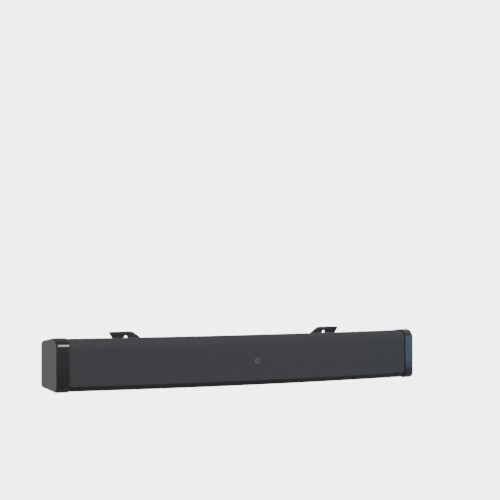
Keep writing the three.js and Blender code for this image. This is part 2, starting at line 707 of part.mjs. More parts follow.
// Extrudes a flat shape along the panel's own upright, from bottom to top, and seats it on the bar.
function upright(shape, bottom, top, x = 0) {
  const settings = { depth: top - bottom, bevelEnabled: false, curveSegments: 2 };
  return onPanel(new THREE.ExtrudeGeometry(shape, settings).translate(x, 0, bottom));
}

// A key's outline, moved out by a margin.
function keyOutline(margin) {
  const radius = BUTTON.width / 2 + margin - ROUND_END;
  return roundedRectangle(BUTTON.length + 2 * margin, BUTTON.width + 2 * margin, radius);
}

function controlPanel() {
  const outline = roundedRectangle(PANEL.length, PANEL.width, 1);
  const reach = 4 * PANEL.thickness;
  const holes = BUTTON_PLACES.map((x) => upright(keyOutline(GAP), -reach, reach, x));
  return cut(upright(outline, PANEL.proud - PANEL.thickness, PANEL.proud), holes);
}

function button(x) {
  const [length, width] = [BUTTON.length, BUTTON.width].map((size) => size + 2 * BUTTON.flange);
  const flange = upright(roundedRectangle(length, width, 2), BUTTON.bottom, BUTTON.flangeTop, x);
  return join([upright(keyOutline(0), BUTTON.bottom + GAP, BUTTON.top, x), flange]);
}

function buttonBoard() {
  const outline = roundedRectangle(PANEL.length - 4, PANEL.width - 4, 1);
  return upright(outline, BUTTON_BOARD_TOP - BOARD, BUTTON_BOARD_TOP);
}

add("control_panel", controlPanel(), MATERIALS.housing);
BUTTON_NAMES.forEach((name, i) => add(name, button(BUTTON_PLACES[i]), MATERIALS.button));
add("button_board", buttonBoard(), MATERIALS.board);

// ---------------------------------------------------------------- hanger brackets

// A steel strip screwed to the back of the bar, whose ear leans outwards above the bar.
function hangerBracket(side) {
  const corners = BRACKET_OUTLINE.map(([outwards, height]) =>
    new THREE.Vector2(side * (BRACKET_X + outwards), zOf(height)));
  const shape = new THREE.Shape(corners);
  shape.holes.push(circle(BRACKET_HOLE_RADIUS, side * BRACKET_X, zOf(BRACKET_HOLE_HEIGHT)));
  for (const height of BRACKET_SCREW_HEIGHTS) {
    shape.holes.push(circle(BRACKET_SCREW.hole, side * BRACKET_SCREW_X, zOf(height)));
  }
  return plate(shape, BRACKET_THICKNESS, Y_BACK + BRACKET_FRONT, 6);
}

for (const [sideName, side] of SIDES) {
  add(`hanger_bracket_${sideName}`, hangerBracket(side), MATERIALS.steel);
}

for (const { name, x, height } of bracketPlaces) {
  const seat = Y_BACK + BRACKET_FRONT + BRACKET_THICKNESS + HAIR;
  add(name, screwAt(BRACKET_SCREW, x, seat, height), MATERIALS.zinc);
}

export default soundbar;
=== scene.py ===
"""Fine surfaces and finishes of a bowed soundbar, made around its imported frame.

Everything is in metres. +X runs along the bar, +Y points to the wall behind it and +Z points up.
"""

import json
import logging
import math
from dataclasses import dataclass, field
from enum import Enum
from typing import Any, Callable, Optional, Sequence, Union

import bmesh
import bpy
import numpy as np
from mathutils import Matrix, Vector


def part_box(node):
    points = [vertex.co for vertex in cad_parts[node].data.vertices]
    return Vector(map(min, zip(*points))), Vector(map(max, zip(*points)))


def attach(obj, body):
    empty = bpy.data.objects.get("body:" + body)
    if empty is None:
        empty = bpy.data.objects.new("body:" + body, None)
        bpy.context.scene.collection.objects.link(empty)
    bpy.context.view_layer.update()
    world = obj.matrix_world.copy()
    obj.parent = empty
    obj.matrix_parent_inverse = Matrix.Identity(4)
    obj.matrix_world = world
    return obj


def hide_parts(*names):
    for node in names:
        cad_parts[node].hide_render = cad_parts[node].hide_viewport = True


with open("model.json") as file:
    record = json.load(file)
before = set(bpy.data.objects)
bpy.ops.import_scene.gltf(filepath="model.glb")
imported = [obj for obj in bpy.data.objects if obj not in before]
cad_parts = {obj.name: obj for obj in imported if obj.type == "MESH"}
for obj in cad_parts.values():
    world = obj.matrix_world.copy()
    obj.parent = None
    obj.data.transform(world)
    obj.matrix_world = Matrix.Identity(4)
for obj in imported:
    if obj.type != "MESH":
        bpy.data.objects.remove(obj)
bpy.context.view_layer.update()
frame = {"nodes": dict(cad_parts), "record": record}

LOG = logging.getLogger("soundbar")
MM = 0.001
QUARTER = math.pi / 2
ROOT = "cabinet"
SHARP_TURN = 38.0  # edges that turn by more than this many degrees stay sharp
PLATE_TURN = 35.0  # the same on pressed plates
WELD = 1e-6

Profile = Sequence[tuple[float, float]]
Placing = Callable[[np.ndarray, np.ndarray, np.ndarray], np.ndarray]
Tint = tuple[float, float, float]

PLAIN: Tint = (1.0, 1.0, 1.0)
SIDES = ((-1, "left"), (1, "right"))


# ---------------------------------------------------------------- meshes from arrays


def quads_between(rows: int, columns: int, wrap: bool = False) -> np.ndarray:
    """Quads of a grid of points, row by row.

    Args:
        rows: Number of rows.
        columns: Number of points in a row.
        wrap: Whether the last column joins the first.

    Returns:
        An array of (n, 4) point numbers: here, next column, next column of the next row, next row.
    """
    here = np.arange(rows - 1)[:, None] * columns
    below = here + columns
    column = np.arange(columns if wrap else columns - 1)[None, :]
    following = (column + 1) % columns
    corners = (here + column, here + following, below + following, below + column)
    return np.stack(np.broadcast_arrays(*corners), axis=-1).reshape(-1, 4)


def fan(ring: np.ndarray, centre: int) -> np.ndarray:
    """Triangles from each side of a closed ring of point numbers to a centre point."""
    return np.stack((ring, np.roll(ring, -1), np.full(len(ring), centre)), axis=1)


def make_mesh(
    name: str,
    points: np.ndarray,
    quads: np.ndarray,
    triangles: Optional[np.ndarray] = None,
    uv: Optional[np.ndarray] = None,
) -> bpy.types.Object:
    """A smooth-shaded mesh object at the origin, with its faces turned outwards.

    Args:
        name: The object's name.
        points: (n, 3) places in metres.
        quads: (m, 4) point numbers.
        triangles: (k, 3) point numbers, or none.
        uv: (n, 2) surface coordinates of the points, or none.

    Returns:
        The linked object.
    """
    triangles = np.zeros((0, 3), dtype=int) if triangles is None else triangles
    corners = np.concatenate((quads.ravel(), triangles.ravel())).astype(np.int32)
    sizes = np.concatenate((np.full(len(quads), 4), np.full(len(triangles), 3))).astype(np.int32)
    mesh = bpy.data.meshes.new(name)
    mesh.vertices.add(len(points))
    mesh.vertices.foreach_set("co", np.asarray(points, dtype=np.float32).ravel())
    mesh.loops.add(len(corners))
    mesh.loops.foreach_set("vertex_index", corners)
    mesh.polygons.add(len(sizes))
    starts = np.concatenate(([0], np.cumsum(sizes)[:-1])).astype(np.int32)
    mesh.polygons.foreach_set("loop_start", starts)
    if uv is not None:
        layer = mesh.uv_layers.new(name="Surface")
        layer.uv.foreach_set("vector", np.asarray(uv, dtype=np.float32)[corners].ravel())
    mesh.update(calc_edges=True)
    mesh.validate()
    turn_outwards(mesh)
    return linked(name, mesh, SHARP_TURN)


def linked(name: str, mesh: bpy.types.Mesh, sharp: float) -> bpy.types.Object:
    """Shades a mesh smoothly and puts it into the scene as an object.

    Args:
        name: The object's name.
        mesh: Its mesh.
        sharp: Edges that turn by more than this many degrees stay sharp.

    Returns:
        The linked object.
    """
    mesh.shade_smooth()
    mesh.set_sharp_from_angle(angle=math.radians(sharp))
    made = bpy.data.objects.new(name, mesh)
    bpy.context.scene.collection.objects.link(made)
    return made


def turn_outwards(mesh: bpy.types.Mesh, weld: float = WELD) -> None:
    """Joins points that coincide and turns every face of a closed mesh outwards.

    Args:
        mesh: The mesh to mend.
        weld: Points nearer than this, in metres, become one.
    """
    work = bmesh.new()
    work.from_mesh(mesh)
    bmesh.ops.remove_doubles(work, verts=work.verts, dist=weld)
    bmesh.ops.dissolve_degenerate(work, edges=work.edges, dist=weld)
    bmesh.ops.recalc_face_normals(work, faces=work.faces)
    work.to_mesh(mesh)
    work.free()


def ringed(name: str, rings: np.ndarray) -> bpy.types.Object:
    """A closed surface through a row of rings, with each end closed by a fan to its ring's middle.

    Args:
        name: The object's name.
        rings: (rows, columns, 3) places.

    Returns:
        The linked object.
    """
    rows, columns = rings.shape[:2]
    count = rows * columns
    middles = np.stack((rings[0].mean(axis=0), rings[-1].mean(axis=0)))
    first, last = np.arange(columns), np.arange(count - columns, count)
    triangles = np.concatenate((fan(first, count), fan(last, count + 1)))
    points = np.concatenate((rings.reshape(-1, 3), middles))
    return make_mesh(name, points, quads_between(rows, columns, wrap=True), triangles)


def lathe(
    name: str,
    profile: Profile,
    place: Placing,
    steps: int = 64,
    shape: Optional[Callable[[np.ndarray], np.ndarray]] = None,
    shaped: Sequence[int] = (),
) -> bpy.types.Object:
    """A profile turned about an axis: each profile point sweeps a ring of its own radius.

    Args:
        name: The object's name.
        profile: (radius, height along the axis) pairs. The first and last lie on the axis, or join.
        place: Puts (across, along, up) arrays, with the height as the third, into the frame.
        steps: Points round the axis.
        shape: Scales the radius by angle on the rings listed in shaped, as for a hexagonal recess.
        shaped: Numbers of the profile points that shape applies to.

    Returns:
        The linked object.
    """
    outline = np.asarray(profile, dtype=float)
    angle = np.linspace(0, 2 * math.pi, steps, endpoint=False)[None, :]
    radius = np.repeat(outline[:, :1], steps, axis=1)
    if shape is not None:
        radius[list(shaped)] *= shape(angle)
    height = np.repeat(outline[:, 1:], steps, axis=1)
    points = place(radius * np.cos(angle), radius * np.sin(angle), height).reshape(-1, 3)
    return make_mesh(name, points, quads_between(len(outline), steps, wrap=True))


def facing_at(x: float, y: float, z: float, turn: float = 0.0) -> Placing:
    """Places a turned piece with its axis along -Y, turned about Z by an angle."""
    c, s = math.cos(turn), math.sin(turn)
    return lambda a, b, h: np.stack((x + a * c + h * s, y + a * s - h * c, z + b), axis=-1)


def quarter(
    centre: tuple[float, float], reach: tuple[float, float], steps: int, start: float = 0.0
) -> np.ndarray:
    """A quarter of an ellipse: the centre, plus the reach times the cosine and sine of the angle.

    Args:
        centre: Its centre.
        reach: Its half axes, with a sign where it runs the other way.
        steps: Number of points.
        start: The first angle.

    Returns:
        (steps, 2) points.
    """
    angle = start + np.linspace(0, QUARTER, steps)
    return np.stack((centre[0] + reach[0] * np.cos(angle), centre[1] + reach[1] * np.sin(angle)), axis=1)


def titled(node: str) -> str:
    """A node's name with each word capitalised."""
    return "_".join(word.capitalize() for word in node.split("_"))


def middle_of(node: str) -> Vector:
    """The middle of a node's box."""
    low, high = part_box(node)
    return (low + high) / 2


def rounded_polygon(
    corners: Sequence[tuple[float, float]], radius: float, steps: int = 6, closed: bool = True
) -> np.ndarray:
    """A polygon or an open line whose corners are rounded by quadratic arcs that touch both sides.

    Args:
        corners: The corners in order.
        radius: Distance from a corner to where its arc begins, cut short on short sides.
        steps: Points in each arc.
        closed: Whether the last corner joins the first; if not, both ends stay where they are.

    Returns:
        (n, 2) points.
    """
    here = np.asarray(corners, dtype=float)
    before = np.roll(here, 1, axis=0) - here
    after = np.roll(here, -1, axis=0) - here
    reach_before = np.linalg.norm(before, axis=1, keepdims=True)
    reach_after = np.linalg.norm(after, axis=1, keepdims=True)
    cut = np.minimum(radius, 0.49 * np.minimum(reach_before, reach_after))
    start = here + before / reach_before * cut
    end = here + after / reach_after * cut
    t = np.linspace(0, 1, steps)[None, :, None]
    arcs = (1 - t) ** 2 * start[:, None] + 2 * t * (1 - t) * here[:, None] + t**2 * end[:, None]
    if closed:
        return arcs.reshape(-1, 2)
    return np.concatenate((here[:1], arcs[1:-1].reshape(-1, 2), here[-1:]))


def soft_profile(corners: Sequence[tuple[float, float]], radius: float) -> np.ndarray:
    """A lathe profile in metres from corners in millimetres, with its corners rounded.

    Args:
        corners: (radius, height) pairs. If the first lies off the axis, the profile closes on itself.
        radius: How far from a corner its rounding begins, in millimetres.

    Returns:
        (n, 2) points.
    """
    closed = corners[0][0] > 0
    line = rounded_polygon(corners, radius, closed=closed) * MM
    return np.concatenate((line, line[:1])) if closed else line


def round_hole(x: float, y: float, radius: float, steps: int = 40) -> np.ndarray:
    """A circle of points."""
    angle = np.linspace(0, 2 * math.pi, steps, endpoint=False)
    return np.stack((x + radius * np.cos(angle), y + radius * np.sin(angle)), axis=1)


def stadium(width: float, height: float, radius: float, steps: int = 10) -> np.ndarray:
    """A rectangle about the origin with its corners turned by quarter circles.

    Args:
        width: Size along the first axis.
        height: Size along the second axis.
        radius: Corner radius.
        steps: Points in each quarter circle.

    Returns:
        (4 * steps, 2) points.
    """
    w, h = width / 2 - radius, height / 2 - radius
    centres = np.array([[w, h], [-w, h], [-w, -h], [w, -h]])
    angle = np.linspace(0, QUARTER, steps)[None, :] + QUARTER * np.arange(4)[:, None]
    arcs = np.stack((np.cos(angle), np.sin(angle)), axis=-1) * radius
    return (centres[:, None] + arcs).reshape(-1, 2)


def pressed_plate(
    name: str,
    outlines: Sequence[np.ndarray],
    thickness: float,
    edge: float,
    place: Callable[[np.ndarray], np.ndarray],
) -> bpy.types.Object:
    """A flat plate with holes and rounded edges, made from a filled flat curve.

    Args:
        name: The object's name.
        outlines: The outer outline and those of the holes, each (n, 2).
        thickness: Plate thickness; the plate is centred on its own plane.
        edge: Radius of the rounded edges.
        place: Puts (n, 3) plate coordinates, the third across its thickness, into the frame.

    Returns:
        The linked object.
    """
    curve = bpy.data.curves.new(name, "CURVE")
    curve.dimensions, curve.fill_mode = "2D", "BOTH"
    curve.extrude, curve.bevel_depth, curve.offset = thickness / 2 - edge, edge, -edge
    curve.bevel_resolution = 2
    for outline in outlines:
        spline = curve.splines.new("POLY")
        spline.points.add(len(outline) - 1)
        depth_and_weight = np.tile((0.0, 1.0), (len(outline), 1))
        spline.points.foreach_set("co", np.concatenate((outline, depth_and_weight), axis=1).ravel())
        spline.use_cyclic_u = True
    source = bpy.data.objects.new(name, curve)
    bpy.context.scene.collection.objects.link(source)
    graph = bpy.context.evaluated_depsgraph_get()
    mesh = bpy.data.meshes.new_from_object(source.evaluated_get(graph))
    bpy.data.objects.remove(source)
    bpy.data.curves.remove(curve)
    points = np.empty(len(mesh.vertices) * 3, dtype=np.float32)
    mesh.vertices.foreach_get("co", points)
    mesh.vertices.foreach_set("co", place(points.reshape(-1, 3)).astype(np.float32).ravel())
    turn_outwards(mesh, weld=2 * WELD)
    mesh.name = name
    return linked(name, mesh, PLATE_TURN)


# ---------------------------------------------------------------- shader maths


class Wire:
    """A number that flows through a material's nodes. Arithmetic on it adds Math nodes."""

    def __init__(self, graph: "Nodes", socket: Optional[bpy.types.NodeSocket]) -> None:
        """Wraps an output socket of one tree; a node that only takes values in has none."""
        self.graph = graph
        self.socket = socket

    def beside(self, output: Union[int, str]) -> "Wire":
        """Another output of the same node."""
        return Wire(self.graph, self.socket.node.outputs[output])

    def _maths(self, operation: str, first: Any, second: Any = None, third: Any = None) -> "Wire":
        """Adds one Math node over up to three values."""
        inputs = {i: v for i, v in enumerate((first, second, third)) if v is not None}
        return self.graph.node("ShaderNodeMath", {"operation": operation}, inputs)

    def __add__(self, other: Any) -> "Wire":
        """self + other."""
        return self._maths("ADD", self, other)

    __radd__ = __add__

    def __sub__(self, other: Any) -> "Wire":
        """self - other."""
        return self._maths("SUBTRACT", self, other)

    def __rsub__(self, other: Any) -> "Wire":
        """other - self."""
        return self._maths("SUBTRACT", other, self)

    def __mul__(self, other: Any) -> "Wire":
        """self * other."""
        return self._maths("MULTIPLY", self, other)

    __rmul__ = __mul__

    def __truediv__(self, other: Any) -> "Wire":
        """self / other."""
        return self._maths("DIVIDE", self, other)

    def minimum(self, other: Any) -> "Wire":
        """The smaller of two values."""
        return self._maths("MINIMUM", self, other)

    def root(self) -> "Wire":
        """The square root."""
        return self._maths("SQRT", self)

    def offcentre(self) -> "Wire":
        """How far the value is from the nearest whole number, with its sign."""
        return self - self._maths("ROUND", self)

    def step(self, low: float, high: float) -> "Wire":
        """A smooth step from 0 at low to 1 at high."""
        settings = {"interpolation_type": "SMOOTHSTEP"}
        return self.graph.node("ShaderNodeMapRange", settings, {0: self, 1: low, 2: high})


class Nodes:
    """A node tree that nodes are added to."""

    def __init__(self, tree: bpy.types.NodeTree) -> None:
        """Wraps the tree."""
        self.tree = tree

    def node(
        self,
        kind: str,
        settings: Optional[dict[str, Any]] = None,
        inputs: Optional[dict[Any, Any]] = None,
        output: Union[int, str] = 0,
    ) -> Wire:
        """Adds a node.

        Args:
            kind: The node's type.
            settings: Its own properties, set before its sockets.
            inputs: Values or wires by socket name or number.
            output: Which output to hand back.

        Returns:
            The output, wrapped.
        """
        made = self.tree.nodes.new(kind)
        for key, value in (settings or {}).items():
            setattr(made, key, value)
        for key, value in (inputs or {}).items():
            self.feed(made.inputs[key], value)
        return Wire(self, made.outputs[output] if made.outputs else None)

    def feed(self, socket: bpy.types.NodeSocket, value: Any) -> None:
        """Links a wire to a socket, or sets its value.

        Args:
            socket: The input socket.
            value: A wire, or a plain value.
        """
        if isinstance(value, Wire):
            self.tree.links.new(value.socket, socket)
        else:
            socket.default_value = value


class Graph(Nodes):
    """One material's node tree, around a Principled surface."""

    def __init__(self, name: str) -> None:
        """Starts an empty material.

        Args:
            name: The material's name.
        """
        self.material = bpy.data.materials.new(name)
        self.material.use_nodes = True
        super().__init__(self.material.node_tree)
        self.tree.nodes.clear()
        shader = self.node("ShaderNodeBsdfPrincipled")
        self.surface = shader.socket.node
        self.node("ShaderNodeOutputMaterial", None, {"Surface": shader})

    def surface_values(self, **values: Any) -> None:
        """Sets or links the surface's sockets; spaces in their names are written as underscores."""
        for key, value in values.items():
            self.feed(self.surface.inputs[key.replace("_", " ")], value)

    def place(self) -> Wire:
        """Object coordinates."""
        return self.node("ShaderNodeTexCoord", output="Object")

    def scaled(self, scale: tuple[float, float, float]) -> Wire:
        """Object coordinates stretched by a factor on each axis."""
        return self.node("ShaderNodeMapping", None, {"Vector": self.place(), "Scale": scale})

    def noise(self, scale: float, detail: float = 2.0, where: Optional[Wire] = None) -> Wire:
        """Fractal noise from 0 to 1 over the piece."""
        inputs = {"Vector": where or self.place(), "Scale": scale, "Detail": detail, "Roughness": 0.55}
        return self.node("ShaderNodeTexNoise", None, inputs, output=0)

    def blend(self, factor: Any, first: Any, second: Any) -> Wire:
        """A colour from first to second by factor."""
        inputs = {0: factor, 6: first, 7: second}
        return self.node("ShaderNodeMix", {"data_type": "RGBA"}, inputs, output=2)

    def bump(self, height: Wire, depth: float, strength: float = 1.0) -> None:
        """Feeds a height field, in the given depth in metres, to the surface's normal."""
        inputs = {"Height": height, "Distance": depth, "Strength": strength}
        self.surface_values(Normal=self.node("ShaderNodeBump", None, inputs))


def shade(level: float, tint: Tint = PLAIN) -> tuple[float, ...]:
    """A grey of a linear level, tinted, as a colour with full alpha."""
    return (*(level * share for share in tint), 1.0)


# ---------------------------------------------------------------- finishes


class Grain(Enum):
    """How a moulded or coated surface is textured."""

    POLISHED = "polished"
    SPARK = "spark eroded"
    POWDER = "powder coat"
    FIBRE = "pressed fibre"
    BRUSHED = "brushed"


@dataclass(frozen=True)
class Finish:
    """A moulded, coated or machined surface.

    Its colour drifts a little between two levels, its roughness follows a broad noise, and its grain
    is a fine height field.
    """

    name: str
    level: float
    roughness: float
    grain: Grain
    tint: Tint = PLAIN
    metallic: float = 0.0
    drift: float = 0.25
    depth: float = 0.00002
    scale: float = 1500.0
    gloss: float = 0.5

    def height(self, graph: Graph) -> Wire:
        """The grain's height field from 0 to 1.

        Args:
            graph: The material it is made in.

        Returns:
            The height.
        """
        if self.grain is Grain.BRUSHED:
            return graph.noise(self.scale, 3.0, graph.scaled((0.03, 1.0, 1.0)))
        if self.grain is Grain.FIBRE:
            return graph.noise(self.scale, 6.0, graph.scaled((1.0, 0.35, 1.0)))
        if self.grain is Grain.POWDER:
            inputs = {"Vector": graph.place(), "Scale": self.scale}
            cells = graph.node("ShaderNodeTexVoronoi", {"feature": "SMOOTH_F1"}, inputs)
            return cells * 0.6 + graph.noise(self.scale * 0.5) * 0.4
        return graph.noise(self.scale, 2.0)

    def make(self) -> bpy.types.Material:
        """Builds the material.

        Returns:
            The material.
        """
        graph = Graph(self.name)
        broad = graph.noise(9.0, 3.0)
        fine = self.height(graph)
        low = shade(self.level * (1 - self.drift), self.tint)
        high = shade(self.level * (1 + self.drift), self.tint)
        graph.surface_values(
            Base_Color=graph.blend(broad * 0.6 + fine * 0.4, low, high),
            Roughness=self.roughness * (0.85 + 0.3 * broad),
            Metallic=self.metallic,
            Specular_IOR_Level=self.gloss,
        )
        graph.bump(fine, self.depth)
        return graph.material


@dataclass(frozen=True)
class PerforatedFinish:
    """A thin painted sheet with round holes on a triangular grid, following the piece's own surface map.

    A point's distance to the nearest hole is the smaller of its distances to two square grids that are
    offset by half a cell, with rows the square root of three pitches apart.
    """

    name: str = "Perforated_charcoal"
    pitch: float = 0.0021
    hole: float = 0.27
    soft: float = 0.07
    land: float = 0.0445
    dark: float = 0.012
    roughness: float = 0.62
    hole_roughness: float = 0.9
    gloss: float = 0.2
    tint: Tint = (1.0, 0.985, 1.12)
    drift: float = 0.1
    depth: float = 0.00022

    def grid(self, u: Wire, v: Wire, shift: float) -> Wire:
        """Distance, in pitches, to the nearest centre of one of the two grids.

        Args:
            u: Place along the sheet, in pitches.
            v: Place down the sheet, in pitches.
            shift: How far the grid is moved, in cells.

        Returns:
            The distance.
        """
        across = (u + shift).offcentre()
        along = (v / math.sqrt(3) + shift).offcentre() * math.sqrt(3)
        return (across * across + along * along).root()

    def make(self) -> bpy.types.Material:
        """Builds the material.

        Returns:
            The material.
        """
        graph = Graph(self.name)
        surface = graph.node("ShaderNodeUVMap", {"uv_map": "Surface"})
        split = graph.node("ShaderNodeSeparateXYZ", None, {0: surface})
        u = split / self.pitch
        v = split.beside(1) / self.pitch
        distance = self.grid(u, v, 0.0).minimum(self.grid(u, v, 0.5))
        sheet = distance.step(self.hole - self.soft, self.hole + self.soft)
        broad = graph.noise(5.0, 3.0)
        paint = graph.noise(1400.0, 2.0)
        low = shade(self.land * (1 - self.drift), self.tint)
        high = shade(self.land * (1 + self.drift), self.tint)
        land = graph.blend(broad * 0.5 + paint * 0.5, low, high)
        graph.surface_values(
            Base_Color=graph.blend(sheet, shade(self.dark), land),
            Roughness=self.hole_roughness - sheet * (self.hole_roughness - self.roughness) + broad * 0.06,
            Specular_IOR_Level=self.gloss,
        )
        graph.bump(sheet + paint * 0.04, self.depth, 0.6)
        return graph.material


@dataclass(frozen=True)
class CircuitFinish:
    """A printed board: solder mask with paler copper runs on a square grid and scattered pads."""

    name: str = "Circuit_board"
    mask: tuple[float, ...] = (0.008, 0.06, 0.025, 1)
    run: tuple[float, ...] = (0.05, 0.22, 0.09, 1)
    depth: float = 0.00006

    def make(self) -> bpy.types.Material:
        """Builds the material.

        Returns:
            The material.
        """
        graph = Graph(self.name)
        turned = {"Vector": graph.place(), "Rotation": (QUARTER, 0.0, 0.0)}
        flat = graph.node("ShaderNodeMapping", None, turned)
        layout = {"offset": 0.35, "squash": 0.6, "squash_frequency": 3}
        inputs = {"Vector": flat, "Scale": 90.0, "Mortar Size": 0.03, "Bias": 0.0}
        runs = graph.node("ShaderNodeTexBrick", layout, inputs, output="Fac")
        pads = graph.node("ShaderNodeTexVoronoi", None, {"Vector": graph.place(), "Scale": 260.0})
        copper = runs * 0.7 + (1 - pads.step(0.12, 0.18)) * 0.3
        graph.surface_values(
            Base_Color=graph.blend(copper, self.mask, self.run),
            Roughness=0.45 - copper * 0.15,
        )
        graph.bump(copper, self.depth)
        return graph.material


FINISHES: dict[str, Union[Finish, PerforatedFinish, CircuitFinish]] = {
    "housing": Finish(
        "Satin_black_housing", 0.012, 0.5, Grain.SPARK, depth=0.00003, scale=1800.0, gloss=0.2),
    "cap": Finish(
        "Gloss_black_cap", 0.005, 0.075, Grain.POLISHED, depth=0.000004, scale=90.0, gloss=0.43),
    "grille": PerforatedFinish(),
    "badge": Finish(
        "Satin_badge", 0.05, 0.4, Grain.BRUSHED, (1, 1, 1.04), depth=0.00001, scale=900.0, gloss=0.3),
    "inner": Finish("Matte_inner", 0.014, 0.7, Grain.SPARK, depth=0.00005, scale=900.0),
    "steel": Finish("Powder_coated_steel", 0.014, 0.5, Grain.POWDER, depth=0.00006, scale=1100.0),
    "screw": Finish(
        "Dark_zinc", 0.16, 0.32, Grain.BRUSHED, (1, 1, 1.02), 1.0, depth=0.00001, scale=2500.0),
    "magnet": Finish("Sintered_ferrite", 0.035, 0.65, Grain.POWDER, depth=0.0001, scale=700.0),
    "cone": Finish("Pressed_paper", 0.02, 0.85, Grain.FIBRE, depth=0.0001, scale=600.0),
    "dome": Finish("Coated_silk", 0.03, 0.7, Grain.FIBRE, (1.1, 1, 0.9), depth=0.00004, scale=2200.0),
    "rubber": Finish("Matte_rubber", 0.010, 0.85, Grain.SPARK, depth=0.00005, scale=1300.0),
    "socket": Finish("Socket_plastic", 0.012, 0.5, Grain.SPARK, depth=0.00002, scale=2500.0),
    "shell": Finish(
        "Plated_shell", 0.3, 0.3, Grain.BRUSHED, (1, 0.99, 0.96), 1.0, depth=0.00001, scale=2500.0),
    "board": CircuitFinish(),
    "heat_sink": Finish("Extruded_aluminium", 0.55, 0.36, Grain.BRUSHED, metallic=1.0, scale=900.0),
    "lead": Finish(
        "Red_lead", 0.25, 0.5, Grain.POLISHED, (1, 0.09, 0.07), depth=0.00002, scale=400.0),
    "lens": Finish(
        "Dark_red_lens", 0.05, 0.08, Grain.POLISHED, (1, 0.15, 0.2), depth=0.000004, scale=200.0),
    "button": Finish("Satin_key", 0.018, 0.36, Grain.SPARK, depth=0.00002, scale=2200.0),
    "legend": Finish(
        "Pale_legend", 0.45, 0.5, Grain.SPARK, drift=0.08, depth=0.00001, scale=2600.0),
}


class Wardrobe:
    """Makes each finish once and puts it on pieces."""

    def __init__(self) -> None:
        """Starts with no materials made."""
        self.made: dict[str, bpy.types.Material] = {}

    def material(self, finish: str) -> bpy.types.Material:
        """The material of a finish, made on first use.

        Args:
            finish: The finish's key.

        Returns:
            The material.
        """
        if finish not in self.made:
            self.made[finish] = FINISHES[finish].make()
        return self.made[finish]

    def dress(self, piece: bpy.types.Object, finish: str) -> None:
        """Gives a piece one finish all over."""
        piece.data.materials.clear()
        piece.data.materials.append(self.material(finish))


WARDROBE = Wardrobe()
SLOTS: dict[str, str] = {
    part["node"]: part["material_slot"] for part in frame["record"]["subparts"]
}


def fit(
    piece: bpy.types.Object,
    slot: str,
    body: str = ROOT,
    stands_for: Sequence[str] = (),
    finish: str = "",
) -> None:
    """Dresses a new piece, rides it on its body and hides the nodes it stands for.

    Args:
        piece: The new piece.
        slot: The record's material slot.
        body: The body it moves with.
        stands_for: The CAD nodes it replaces.
        finish: The finish, where it isn't the slot's own.
    """
    WARDROBE.dress(piece, finish or slot)
    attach(piece, body)
    if stands_for:
        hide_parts(*stands_for)
    LOG.info("%s rides on %s with %d faces", piece.name, body, len(piece.data.polygons))


# ---------------------------------------------------------------- the bar's cross-section


